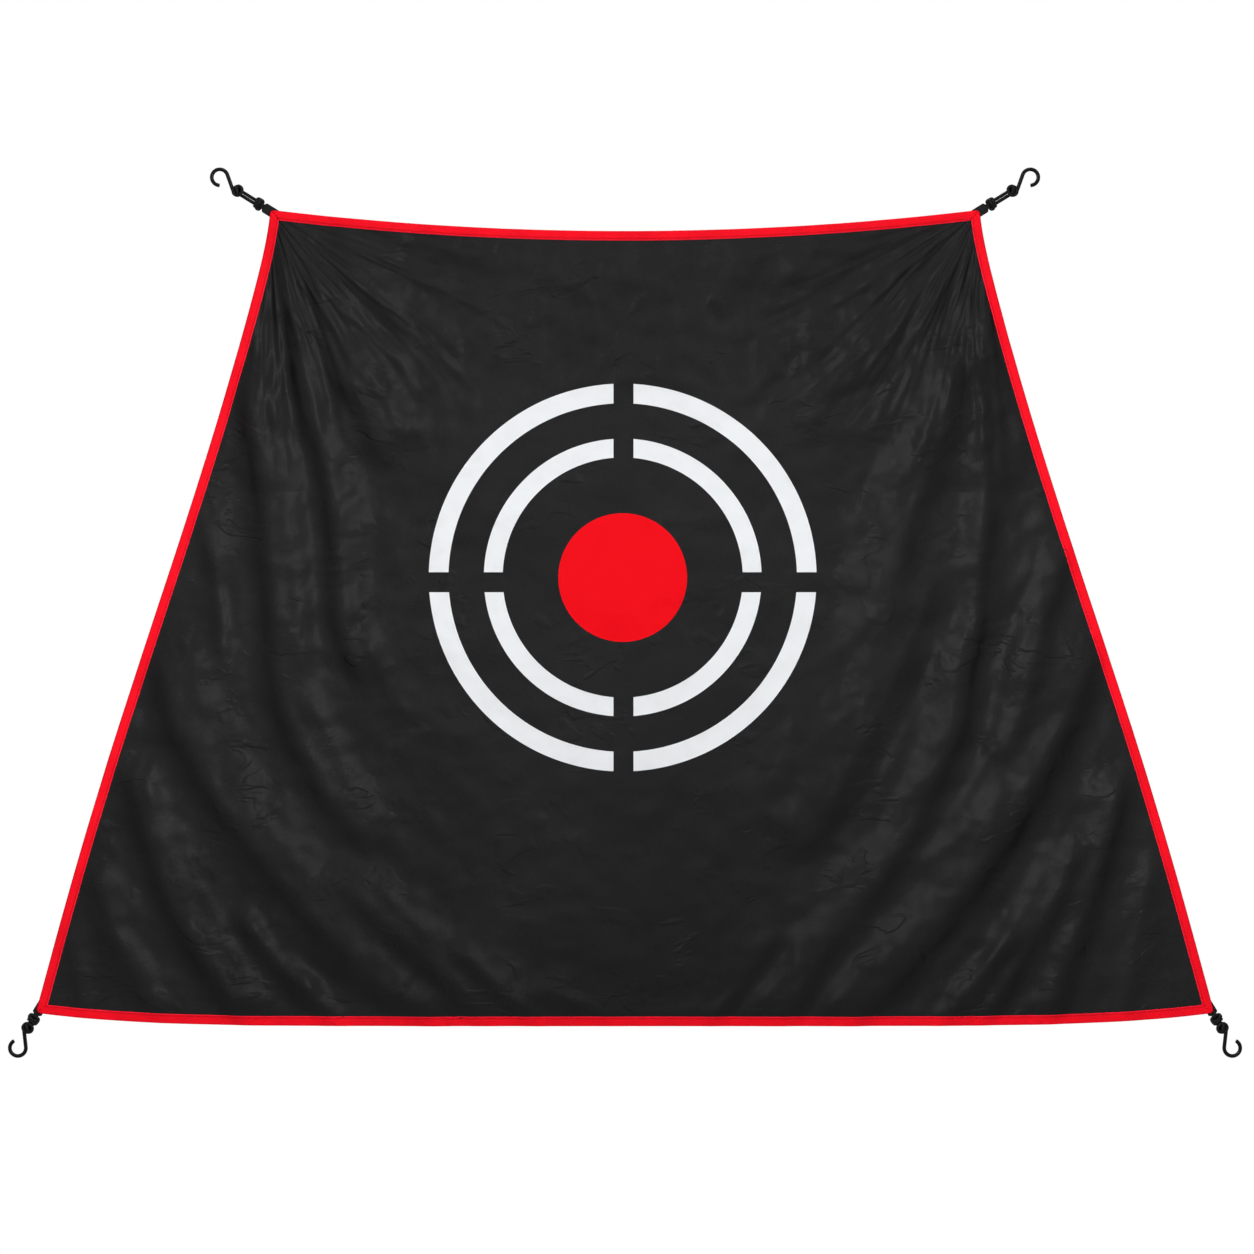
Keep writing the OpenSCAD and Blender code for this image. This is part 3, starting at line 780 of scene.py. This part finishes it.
def webbing_material(black):
    """Black webbing: cross ribs between rows of warp, with painted highlights on the ribs' crowns,
    painted shade between them and slight random wear.
    """
    m = Recipe("woven_webbing")
    along, across, _ = m.split(m.at("UV"))
    ribs = along.wave(1.1)
    wear_and_shade = m.noise(320.0, 3.0, 0.6)
    m.bump(ribs * 0.55 + across.wave(1 / 9) * 0.45, 0.35 * MM, 0.9)
    # The ribs' crowns are painted lighter and their grooves darker, as painted highlight and
    # shade; the noise adds random wear.
    tone = ribs * 0.5 + wear_and_shade * 0.5
    return m.finish(m.shades(tone, black, 0.45, 1.9), wear_and_shade * 0.2 + 0.45, 0.1)


def sleeve_material(black):
    """Braided sleeve of the elastic: two crossed sets of strands."""
    m = Recipe("elastic_sleeve")
    along, round_cord, _ = m.split(m.at("UV"))
    turns, strands = along * (1 / 3.2), round_cord * 5
    braid = (turns + strands).wave(1.0).math("MAXIMUM", (turns - strands).wave(1.0))
    fuzz = m.noise(700.0, 2.0, 0.6)
    m.bump(braid * 0.8 + fuzz * 0.2, 0.24 * MM, 0.8)
    # The colour follows the braid's relief: painted highlights on the strands' crowns and painted
    # shade between them.
    return m.finish(m.shades(braid, black, 0.4, 1.3), fuzz * 0.15 + 0.38, 0.07)


def coating_material(coating):
    """Smooth black plastic over steel wire, with a faint orange peel."""
    m = Recipe("wire_coating")
    scuffs = m.ramp(m.noise(150.0, 5.0, 0.7), 0.55, 0.75)
    m.bump(m.noise(420.0, 2.0, 0.5), 0.08 * MM, 0.4)
    return m.finish(m.mix(scuffs * 0.4, shade(coating), shade(coating, 2.2)),
                    scuffs * 0.15 + 0.24, 0.1)


# ---- the cloth ----

CELL_BIAS = 0.85  # below 1, the cells get finer towards the sides


class TARGET_OT_cloth(Operator):
    """Model the hanging cloth with its folds"""

    bl_idname = "target.cloth"
    bl_label = "Cloth"

    def execute(self, context):
        c = context.scene.target_cloth

        def place(u, v):
            share = 2 * u - 1
            share = np.sign(share) * np.abs(share) ** CELL_BIAS
            side_v = c.inset / c.height + (1 - v) * (1 - 2 * c.inset / c.height)
            x = share * (half_w(side_v) - c.inset)
            z = v * (top_edge(share) - c.inset) + (1 - v) * (bottom_edge(share) + c.inset)
            return x, cloth_depth(x, z), z

        bm = mapped_grid(c.columns, c.rows, place)
        thicken(bm, c.thickness)
        obj = piece("target_cloth", bm, cloth_material(c.black), "cloth",
                    ["cloth_panel"])
        return {"FINISHED"}


# ---- the prints ----

SHARP_EDGE = math.radians(50)


def flat_ring(box, width, steps, rows):
    """A flat ring round the middle of the target, as large as a node's box."""
    middle_x, middle_z = target_middle()
    radius = (box[1][0] - box[0][0]) / 2

    def place(u, v):
        r = radius - width * v
        angle = 2 * math.pi * u
        return middle_x + r * np.cos(angle), 0 * u, middle_z + r * np.sin(angle)

    return mapped_grid(steps, rows, place, merge=True)


def cut_cross(bm, t):
    """Takes the bare cross out of a ring, so that four arcs are left."""
    middle_x, middle_z = target_middle()
    cross = Vector((middle_x + t.cross_x, 0, middle_z + t.cross_z))
    half = t.cross_w / 2
    for axis in (Vector((1, 0, 0)), Vector((0, 0, 1))):
        for side in (-1, 1):
            bmesh.ops.bisect_plane(bm, geom=bm.verts[:] + bm.edges[:] + bm.faces[:],
                                   dist=1e-7, plane_co=cross + axis * half * side,
                                   plane_no=axis)
    bare = [face for face in bm.faces
            if min(abs(face.calc_center_median().x - cross.x),
                   abs(face.calc_center_median().z - cross.z)) < half]
    bmesh.ops.delete(bm, geom=bare, context="FACES")


def lay_on_cloth(bm, thickness):
    """Lays a flat print on the front of the cloth and gives it its thickness."""
    c = bpy.context.scene.target_cloth
    x, _, z = np.array([vert.co for vert in bm.verts]).T
    for vert, y in zip(bm.verts, cloth_depth(x, z) - c.thickness / 2 - thickness):
        vert.co.y = y
    thicken(bm, thickness)
    for edge in bm.edges:
        edge.smooth = edge.calc_face_angle(0.0) < SHARP_EDGE


class TARGET_OT_prints(Operator):
    """Model the two split rings and the bull's-eye"""

    bl_idname = "target.prints"
    bl_label = "Printed target"

    def execute(self, context):
        t = context.scene.target_print
        # The last number is how dark the patches of painted shade in each ink are.
        white = ink_material("white_ink", t.white, 0.86)
        red = ink_material("red_ink", t.red, 0.88)
        for name, width in (("outer_ring", t.ring_w), ("inner_ring", t.inner_w)):
            bm = flat_ring(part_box(f"{name}_print"), width, steps=320, rows=6)
            cut_cross(bm, t)
            lay_on_cloth(bm, t.film)
            piece(name, bm, white, "cloth", [f"{name}_print"])
        bm = flat_ring(BULL, (BULL[1][0] - BULL[0][0]) / 2, steps=128, rows=24)
        lay_on_cloth(bm, t.film)
        piece("bullseye", bm, red, "cloth", ["bullseye_print"])
        return {"FINISHED"}


# ---- the binding ----


def edge_point(side, t):
    """A point of one edge at the share t, walked with the cloth on the right."""
    c = bpy.context.scene.target_cloth
    if side == "top":
        u = 2 * t - 1
        return u * c.top_w / 2, top_edge(u)
    if side == "bottom":
        u = 1 - 2 * t
        return u * c.bottom_w / 2, bottom_edge(u)
    v = t if side == "right" else 1 - t
    sign = 1 if side == "right" else -1
    return sign * half_w(v), c.height / 2 - v * c.height


EDGES = ("top", "right", "bottom", "left")
EDGE_SAMPLES = 2000
TAPE_CELL = 3 * MM
TAPE_ROWS = 26
SEWN_DOWN = 0.42 * MM     # the stitches pull the tape down by this,
SEWN_RUN = 1.3 * MM       # over this distance on either side,
SELVAGE_RUN = 1.5 * MM    # and from this far past them it stays down
SELVAGE_SHARE = 0.8       # by this share
PUCKER = 0.07 * MM        # half height of the puckers between the stitches
TAPE_WAVE = 0.12 * MM     # half height of the slow waves along the tape
PUCKER_RUN = 4 * MM       # both are whole this far from the fold
SIDE_UNDER = 0.12         # slope by which the side tapes run on under the other two,
UNDER_DEPTH = 0.192 * MM  # lower than those by this
UNDER_RUN = 2 * MM        # over this distance


class Edge:
    """One edge of the cloth, by distance along it."""

    def __init__(self, side):
        x, z = edge_point(side, np.linspace(0, 1, EDGE_SAMPLES))
        self.points = np.stack([x, z], 1)
        self.along = distances(self.points)
        self.length = self.along[-1]
        self.heading = directions(self.points)

    def at(self, distance):
        """Points and inward directions at distances along the edge."""
        x, z, tx, tz = (np.interp(distance, self.along, values) for values in (
            self.points[:, 0], self.points[:, 1], self.heading[:, 0], self.heading[:, 1]))
        return x, z, tz, -tx

    def turn(self, after):
        """Half of the inside angle between this edge's end and the next edge's start."""
        back, ahead = -self.heading[-1], after.heading[0]
        return math.acos(float(back.dot(ahead))) / 2


def edge_run():
    """The four edges, each with the mitre slopes at its two ends."""
    edges = [Edge(side) for side in EDGES]
    turns = [edge.turn(edges[(k + 1) % 4]) for k, edge in enumerate(edges)]
    return [(side, edges[k], 1 / math.tan(turns[k - 1]), 1 / math.tan(turns[k]))
            for k, side in enumerate(EDGES)]


def rounded(x, z, radius, edge, start_slope, end_slope):
    """Rounds the outer corners of a strip of tape."""
    for end, slope in ((0.0, start_slope), (edge.length, end_slope)):
        cx, cz, nx, nz = (float(k) for k in edge.at(end))
        tx, tz = -nz, nx
        inward = 1 if end == 0.0 else -1
        ox = cx + nx * radius + tx * inward * radius * slope
        oz = cz + nz * radius + tz * inward * radius * slope
        depth = (x - cx) * nx + (z - cz) * nz
        along = ((x - cx) * tx + (z - cz) * tz) * inward
        inside = (depth < radius) & (along < radius * slope)
        away = np.hypot(x - ox, z - oz) + 1e-12
        wanted = radius - depth
        x = np.where(inside, ox + (x - ox) / away * wanted, x)
        z = np.where(inside, oz + (z - oz) / away * wanted, z)
    return x, z


def tape_height(inward, b):
    """Middle of the tape, from the middle of the cloth, at a distance from its fold."""
    body = b.loft * np.sqrt(np.clip(1 - (1 - np.clip(inward / b.loft, 0, 1)) ** 2, 0, 1))
    sewn = np.exp(-((inward - b.stitch_in) / SEWN_RUN) ** 2)
    after = smooth((inward - b.stitch_in) / SELVAGE_RUN)
    return body - SEWN_DOWN * np.maximum(sewn, after * SELVAGE_SHARE)


def pucker(along, inward, b):
    """Small puckers between the stitches and slow waves along the tape."""
    waves = np.sin(along / (9 * MM)) * np.sin(along / (23 * MM) + 1.0)
    return smooth(inward / PUCKER_RUN) * (
        PUCKER * np.cos(2 * np.pi * along / b.pitch) + TAPE_WAVE * waves)


class TARGET_OT_binding(Operator):
    """Model the folded tape along the four edges"""

    bl_idname = "target.binding"
    bl_label = "Binding tape"

    def execute(self, context):
        b = context.scene.target_binding
        material = tape_material(b.red, b.width, b.stitch_in)
        for side, edge, start_slope, end_slope in edge_run():
            under = SIDE_UNDER if side in ("left", "right") else 0.0
            depth = UNDER_DEPTH if under else 0.0

            def place(u, v):
                face = np.where(v < 0.5, -1.0, 1.0)
                inward = np.abs(2 * v - 1) ** 1.25 * b.width
                first = inward * (start_slope - under)
                last = edge.length - inward * (end_slope - under)
                along = first + u * (last - first)
                x, z, nx, nz = edge.at(along)
                x, z = x + nx * inward, z + nz * inward
                x, z = rounded(x, z, b.corner_r, edge, start_slope, end_slope)
                to_end = np.minimum(along - first, last - along)
                lower = depth * np.exp(-(to_end / UNDER_RUN) ** 2)
                y = cloth_depth(x, z) + face * (
                    tape_height(inward, b) + pucker(along, inward, b) - lower)
                return x, y, z

            bm = mapped_grid(round(edge.length / TAPE_CELL), TAPE_ROWS, place,
                             uv_scale=(edge.length / MM, 1.0))
            thicken(bm, b.tape_t)
            piece(f"tape_{side}", bm, material, "cloth", [f"binding_{side}"])
        return {"FINISHED"}


def add_stitch(bm, middle, turn, size):
    """One stitch of thread, a small long ball of the size."""
    bmesh.ops.create_icosphere(
        bm, subdivisions=1, radius=0.5,
        matrix=Matrix.Translation(middle) @ turn @ Matrix.Diagonal((*size, 1.0)))


class TARGET_OT_stitching(Operator):
    """Model the row of stitches on both faces of the binding"""

    bl_idname = "target.stitching"
    bl_label = "Stitching"

    def execute(self, context):
        b = context.scene.target_binding
        material = thread_material("binding_thread", b.thread)
        for side, edge, start_slope, end_slope in edge_run():
            bm = bmesh.new()
            first = b.stitch_in * start_slope + b.pitch / 2
            last = edge.length - b.stitch_in * end_slope - b.pitch / 2
            places = np.linspace(first, last, round((last - first) / b.pitch) + 1)
            x, z, nx, nz = edge.at(places)
            x, z = x + nx * b.stitch_in, z + nz * b.stitch_in
            surface = tape_height(b.stitch_in, b) + b.tape_t / 2
            for k, y in enumerate(cloth_depth(x, z)):
                turn = Matrix(((-nz[k], 0, nx[k]), (0, 1, 0), (nx[k], 0, nz[k]))).to_4x4()
                for face in (-1, 1):
                    add_stitch(bm, (x[k], y + face * surface, z[k]), turn,
                               (b.stitch_l, b.thread_d, b.thread_d))
            piece(f"stitches_{side}", bm, material, "cloth")
        return {"FINISHED"}


# ---- the corners ----

# Sizes in this section are in millimetres, and angles in degrees. A pull starts near its
# corner (x, z) and has an angle, a tab's length and a cord's length, which ends in the eye.
PULLS = {"upper": ((0.5, -2.0), 148, 14.0, 37.0), "lower": ((3.0, 2.0), 238, 8.0, 18.5)}
TAB_Y = 2.3         # middle of a tab, behind the middle of the cloth
TAB_LAYER = 0.5     # middle of each of its two layers, from the middle of the tab
TAB_TAIL = 22.0     # sewn part of the webbing
TAB_WEDGE = 4.7     # from where the layers part to the middle of the end loop
TAB_LOOP_R = 3.0
WRAP_ANGLE = 122    # half of the arc of the end loop
GATHER_FROM = 5.0   # the webbing gathers from this far before the middle of the loop,
GATHER_RUN = 3.2    # over this distance,
PLEATS = 3          # into so many waves
PLEAT = 0.28        # of this half height
WEB_STEP = 0.55     # length of a cell of its mesh
KNOT_REACH = 6.0    # from the middle of the end loop to the free strands
STRAND_HALF = 2.3   # half of the distance between the strands
PASS = 5.0          # the strands end this far behind the eye,
STRAND_SHORT = 1.6  # and this far before its rim
LEG_RUN = 4.6       # the legs of the hook's knot run this far along the strands
EYE_R = 4.8
EYE_OPEN = 96       # gap of the eye's ring
SHANK_L = 23.2
SHANK_SLANT = 38.3  # of the shank from the pull
BOWL_R = 10.2
BOWL_SWEEP = 250


class Corner:
    """A corner's own axes: along the pull, across it towards the hook's tip, and back."""

    def __init__(self, name):
        c = bpy.context.scene.target_cloth
        self.name = name
        level, side = name.split("_")
        self.lower = level == "lower"
        half = (c.bottom_w if self.lower else c.top_w) / 2
        height = -c.height / 2 if self.lower else c.height / 2
        (start_x, start_z), degrees, self.reach, self.cord = PULLS[level]
        angle = math.radians(degrees)
        self.mirror = 1.0 if side == "left" else -1.0
        self.start = np.array([-half + start_x * MM, TAB_Y * MM, height + start_z * MM])
        self.pull = np.array([math.cos(angle), 0.0, math.sin(angle)])
        self.across = np.array([-math.sin(angle), 0.0, math.cos(angle)])
        if self.lower:
            self.across = -self.across
        self.eye = self.reach + self.cord

    def place(self, points):
        """Points (along, across, back) in millimetres, in the frame of the model."""
        p = np.array(points, float) * MM
        found = (self.start + p[:, :1] * self.pull + p[:, 1:2] * self.across
                 + p[:, 2:] * np.array([0.0, 1.0, 0.0]))
        found[:, 0] *= self.mirror
        return found

    def slope(self):
        """Rise of the strands from the tab to the back of the eye, in radians."""
        return math.asin(PASS / (self.cord - KNOT_REACH - EYE_R))


def webbing_route(reach):
    """Side view of the webbing, as (along, back): front layer, end loop and back layer."""
    flare = reach - TAB_WEDGE
    front = [(along, -TAB_LAYER)
             for along in (-TAB_TAIL, -TAB_TAIL / 2, flare - 2, flare)]
    loop = arc((reach, 0.0), TAB_LOOP_R, -WRAP_ANGLE, 2 * WRAP_ANGLE, 30)
    back = [(along, -level) for along, level in reversed(front)]
    return np.vstack([front, loop, back])


class TARGET_OT_tabs(Operator):
    """Model the webbing tabs behind the corners, and their thread tacks"""

    bl_idname = "target.tabs"
    bl_label = "Webbing tabs"

    def execute(self, context):
        f = context.scene.target_fittings
        material = webbing_material(f.black)
        for corner in map(Corner, CORNERS):
            route = even_path(webbing_route(corner.reach), WEB_STEP)
            heading = directions(route)
            rings = len(route) - 1

            def place(u, v):
                i = np.rint(u * rings).astype(int)
                along, back = route[i].T
                gather = smooth((along - corner.reach + GATHER_FROM) / GATHER_RUN)
                width = (f.web_w + (f.web_end_w - f.web_w) * gather) / MM
                pleat = PLEAT * gather * np.cos(2 * np.pi * PLEATS * v)
                return corner.place(np.stack([
                    along - heading[i, 1] * pleat, (v - 0.5) * width,
                    back + heading[i, 0] * pleat], 1)).T

            bm = mapped_grid(rings, 28, place, uv_scale=(rings * WEB_STEP, 1.0))
            thicken(bm, f.web_t)
            piece(f"{corner.name}_webbing", bm, material, "cloth",
                  [f"{corner.name}_tab"])
        self.add_tacks(f)
        return {"FINISHED"}

    def add_tacks(self, f):
        """Two zigzag bars of thread across the back of each tab."""
        bars, stitches = (0.35, 0.75), 15
        bar_l, bar_w, lean, level, thread = 10.0, 1.7, 0.35, 1.12, 0.5 * MM
        bm = bmesh.new()
        for corner in map(Corner, CORNERS):
            for along in (-TAB_TAIL * share for share in bars):
                for k in range(stitches):
                    across = (k / (stitches - 1) - 0.5) * bar_l
                    shift = lean if k % 2 else -lean
                    ends = corner.place([(along - bar_w / 2, across - shift, level),
                                         (along + bar_w / 2, across + shift, level)])
                    run = Vector(ends[1] - ends[0])
                    turn = run.to_track_quat("X", "Z").to_matrix().to_4x4()
                    add_stitch(bm, (ends[0] + ends[1]) / 2, turn,
                               (run.length * 1.15, thread, thread))
        piece("thread_tacks", bm, thread_material("tack_thread", f.black), "cloth",
              ["tab_tacks"])


class TARGET_OT_loops(Operator):
    """Model the elastic loops: the knot on the tab, two strands and the knot on the hook"""

    bl_idname = "target.loops"
    bl_label = "Elastic loops"

    def execute(self, context):
        material = sleeve_material(context.scene.target_fittings.black)
        for corner in map(Corner, CORNERS):
            name = corner.name
            piece(f"{name}_tab_loop", self.tab_knot(corner), material,
                  f"{name}_cord", [f"{name}_tab_knot"])
            piece(f"{name}_hook_loop", self.hook_knot(corner), material,
                  f"{name}_pull", [f"{name}_hook_knot"])
            strands, start, end = self.strands(corner)
            obj = piece(f"{name}_elastic", strands, material, None,
                        [f"{name}_strands"])
            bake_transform(obj)
        return {"FINISHED"}

    def cord(self, corner, start, points, closed=False, squeeze=None):
        """One length of cord through given points, from a start along the pull."""
        route = corner.place(np.array(points) + (start, 0, 0))
        path = even_path(smooth_path(route, 10, closed), 0.6 * MM)
        radius = np.full(len(path), bpy.context.scene.target_fittings.cord_d / 2)
        if squeeze:
            radius = radius * np.interp(np.linspace(0, 1, len(path)), *squeeze)
        return tube(path, radius, 16, closed)

    def tab_knot(self, corner):
        """A turn of cord through the end of the webbing, a wrap round it and its tails."""
        flat = 1.1 if corner.lower else 0.0
        narrow = ((0, 0.17, 0.23, 0.94, 1), (0.82, 0.82, 1, 1, 0.82))
        turn = [(0.2, -3.4, 0), (0.1, 0, 0), (0.2, 3.4, 0), (1.1, 5.7, -0.5), (3.6, 6.0, -1.9),
                (6.2, 3.8, -3.5), (7.7, 0.4, -4.1), (8.3, -3.2, -3.5), (8.2, -5.2, -1.9),
                (5.4, -6.0, -0.6), (1.8, -5.8, -0.2)]
        wrap = [(3.2, 6.3, 0), (4.5, 4.5, -3.8), (4.3 + flat, 0, -5.1 + flat),
                (4.8, -3.8, -3.8), (4.3, -6.0, -0.4), (4.3, -4.2, 3.5), (4.1, 0, 5.1),
                (4.4, 4.6, 3.9)]
        tails = [[(4.3, 4.4, -1.2), (6.4, 4.9, -1.5), (9.6, 4.6, -1.3)]]
        if corner.lower:
            tails.append([(4.3, -4.4, 0.5), (6.6, -4.6, 0.9), (10.0, -4.3, 1.0)])
        return joined([self.cord(corner, corner.reach, turn, True, narrow),
                       self.cord(corner, corner.reach, wrap, True),
                       *(self.cord(corner, corner.reach, tail) for tail in tails)])

    def hook_knot(self, corner):
        """A turn and a bight in front of the eye, and two legs through it to the back."""
        turn = [(3.4, -2.6, -4.4), (3.9, 0.4, -4.2), (3.2, 3.4, -4.4), (1.0, 5.6, -4.7),
                (-2.6, 5.8, -4.9), (-5.6, 4.0, -5.0), (-6.5, 0.6, -5.1), (-6.0, -3.0, -5.0),
                (-3.6, -5.6, -4.9), (0.4, -5.8, -4.7)]
        bight = [(-5.0, 4.6, -3.4), (-3.6, 3.2, -6.0), (-0.8, 0.4, -7.0), (1.8, -2.6, -6.2),
                 (3.4, -4.4, -3.6)]
        narrow = ((0, 0.12, 0.3, 0.5, 1), (0.9, 0.52, 0.52, 1, 1.02))
        slope = corner.slope()
        back, down = LEG_RUN * math.cos(slope), LEG_RUN * math.sin(slope)
        parts = [self.cord(corner, corner.eye, turn, True),
                 self.cord(corner, corner.eye, bight)]
        for side in (-1, 1):
            leg = [(0.1, side * 1.8, -4.8), (0.1, side * 1.0, -1.6), (0.1, side * 1.0, 1.4),
                   (0.1, side * 1.7, 3.9), (-1.6, side * 2.2, 5.1),
                   (-EYE_R, side * STRAND_HALF, PASS),
                   (-EYE_R - back, side * STRAND_HALF, PASS - down - 0.2)]
            parts.append(self.cord(corner, corner.eye, leg, squeeze=narrow))
        return joined(parts)

    def strands(self, corner):
        """Two straight strands between the knots, and where they start and end."""
        slope = corner.slope()
        run = corner.cord - KNOT_REACH - EYE_R - STRAND_SHORT
        end, rise = KNOT_REACH + run * math.cos(slope), run * math.sin(slope)
        parts = []
        for out in (-STRAND_HALF, STRAND_HALF):
            parts.append(self.cord(corner, corner.reach, [
                (0.4, out * 0.9, 0.3), (KNOT_REACH - 2.5, out, 0.1), (KNOT_REACH, out, 0.1),
                ((KNOT_REACH + end) / 2, out, rise / 2 + 0.1), (end, out, rise)]))
        ends = corner.place([(corner.reach + KNOT_REACH + 1.5, 0, 0.3),
                             (corner.reach + end - 1.0, 0, rise - 0.3)])
        return joined(parts), tuple(ends[0]), tuple(ends[1])


class TARGET_OT_hooks(Operator):
    """Model the coated wire hooks: eye, shank and bowl"""

    bl_idname = "target.hooks"
    bl_label = "Wire hooks"

    def execute(self, context):
        f = context.scene.target_fittings
        material = coating_material(f.coating)
        eye = arc((0.0, 0.0), EYE_R, 90 - EYE_OPEN, EYE_OPEN - 360, 40)
        bowl = arc((SHANK_L, EYE_R + BOWL_R), BOWL_R, -90, BOWL_SWEEP, 60)
        flat = even_path(np.vstack([eye, bowl]), 0.8)
        turn = math.radians(SHANK_SLANT)
        along = flat[:, 0] * math.cos(turn) + flat[:, 1] * math.sin(turn)
        across = flat[:, 1] * math.cos(turn) - flat[:, 0] * math.sin(turn)
        for corner in map(Corner, CORNERS):
            path = corner.place(np.stack([corner.eye + along, across, 0 * along], 1))
            radius = np.full(len(path), f.wire_d / 2)
            piece(f"{corner.name}_wire_hook", tube(path, radius, 24, fillet=0.4), material,
                  f"{corner.name}_hook", [f"{corner.name}_hook"])
        return {"FINISHED"}


# ---- the stage ----


class TARGET_OT_stage(Operator):
    """Set up the camera, the lamps, the white surround and the pale floor"""

    bl_idname = "target.stage"
    bl_label = "Stage"

    def execute(self, context):
        s = context.scene.target_stage
        scene = context.scene
        camera = bpy.data.objects.new("camera", bpy.data.cameras.new("camera"))
        camera.data.lens = s.lens
        camera.data.sensor_width = 36.0
        camera.data.clip_end = 60.0
        camera.location = (s.aim_x, -s.view_w * s.lens / camera.data.sensor_width, s.aim_z)
        camera.rotation_euler = (math.radians(90), 0, 0)
        scene.collection.objects.link(camera)
        scene.camera = camera
        self.add_lamp("key", (0, -1.6, 3.2), (0, 0, 0), 1.4, math.pi, s.key_power)
        for side in (-1, 1):
            self.add_lamp("side_key", (side * 0.49, -2.02, 0.61), (-side * 1.35, 0, -0.08),
                          0.92, math.radians(70), s.side_power)
        self.add_lamp("back", (0, 4.6, 3.9), (0, 0, 0), 4.0, math.pi, s.back_power)
        self.add_surround(scene, s.fill)
        self.add_floor(s)
        scene.view_settings.view_transform = "Standard"
        return {"FINISHED"}

    def add_lamp(self, name, place, aim, size, spread, power):
        """A square softbox at a place, turned to a point."""
        lamp = bpy.data.objects.new(name, bpy.data.lights.new(name, "AREA"))
        lamp.data.shape = "SQUARE"
        lamp.data.size = size
        lamp.data.spread = spread
        lamp.data.energy = power
        lamp.location = place
        lamp.rotation_euler = (Vector(aim) - Vector(place)).to_track_quat(
            "-Z", "Y").to_euler()
        bpy.context.scene.collection.objects.link(lamp)

    def add_surround(self, scene, fill):
        """White where it is seen or mirrored, and a soft fill for the rest."""
        m = Recipe("surround", "worlds")
        seen = m.add("ShaderNodeLightPath", output="Is Camera Ray")
        for ray in ("Is Glossy Ray", "Is Transmission Ray"):
            seen = seen.math("MAXIMUM", m.add("ShaderNodeLightPath", output=ray))
        scene.world = m.end(m.add("ShaderNodeBackground", {
            "Color": (1, 1, 1, 1), "Strength": seen * (1 - fill) + fill}), "World")

    def add_floor(self, s):
        """A round pale floor that fades to white at its rim."""
        m = Recipe("pale_floor")
        x, y, _ = m.split(m.at())
        y = y - s.floor_y
        rim = m.ramp((x * x + y * y).math("SQRT"), s.floor_r * 0.55, s.floor_r * 0.98)
        ground = m.add("ShaderNodeBsdfPrincipled", {"Base Color": shade(s.floor),
                                                    "Roughness": 0.9})
        white = m.add("ShaderNodeEmission", {"Color": (1, 1, 1, 1), "Strength": 1.0})
        m.end(m.add("ShaderNodeMixShader", {0: rim, 1: ground, 2: white}))
        bm = bmesh.new()
        bmesh.ops.create_circle(bm, cap_ends=True, segments=96, radius=s.floor_r,
                                matrix=Matrix.Translation((0, s.floor_y, s.floor_z)))
        add_object("floor", bm, m.owner)


class TARGET_PT_panel(Panel):
    """Lists the groups of pieces"""

    bl_idname = "TARGET_PT_panel"
    bl_label = "Chipping Target"
    bl_space_type = "VIEW_3D"
    bl_region_type = "UI"
    bl_category = "Target"

    def draw(self, context):
        for operator in OPERATORS:
            self.layout.operator(operator.bl_idname)


SETTINGS = {"target_cloth": ClothSettings, "target_print": TargetSettings,
            "target_binding": BindingSettings, "target_fittings": FittingSettings,
            "target_stage": StageSettings}
OPERATORS = (TARGET_OT_stage, TARGET_OT_cloth, TARGET_OT_prints, TARGET_OT_binding,
             TARGET_OT_stitching, TARGET_OT_tabs, TARGET_OT_loops, TARGET_OT_hooks)


def register():
    for cls in (*SETTINGS.values(), *OPERATORS, TARGET_PT_panel):
        bpy.utils.register_class(cls)
    for name, cls in SETTINGS.items():
        setattr(bpy.types.Scene, name, PointerProperty(type=cls))


def unregister():
    for name in SETTINGS:
        delattr(bpy.types.Scene, name)
    for cls in (TARGET_PT_panel, *reversed(OPERATORS), *SETTINGS.values()):
        bpy.utils.unregister_class(cls)


def main():
    register()
    for operator in OPERATORS:
        group, action = operator.bl_idname.split(".")
        getattr(getattr(bpy.ops, group), action)()


if __name__ == "__main__":
    main()
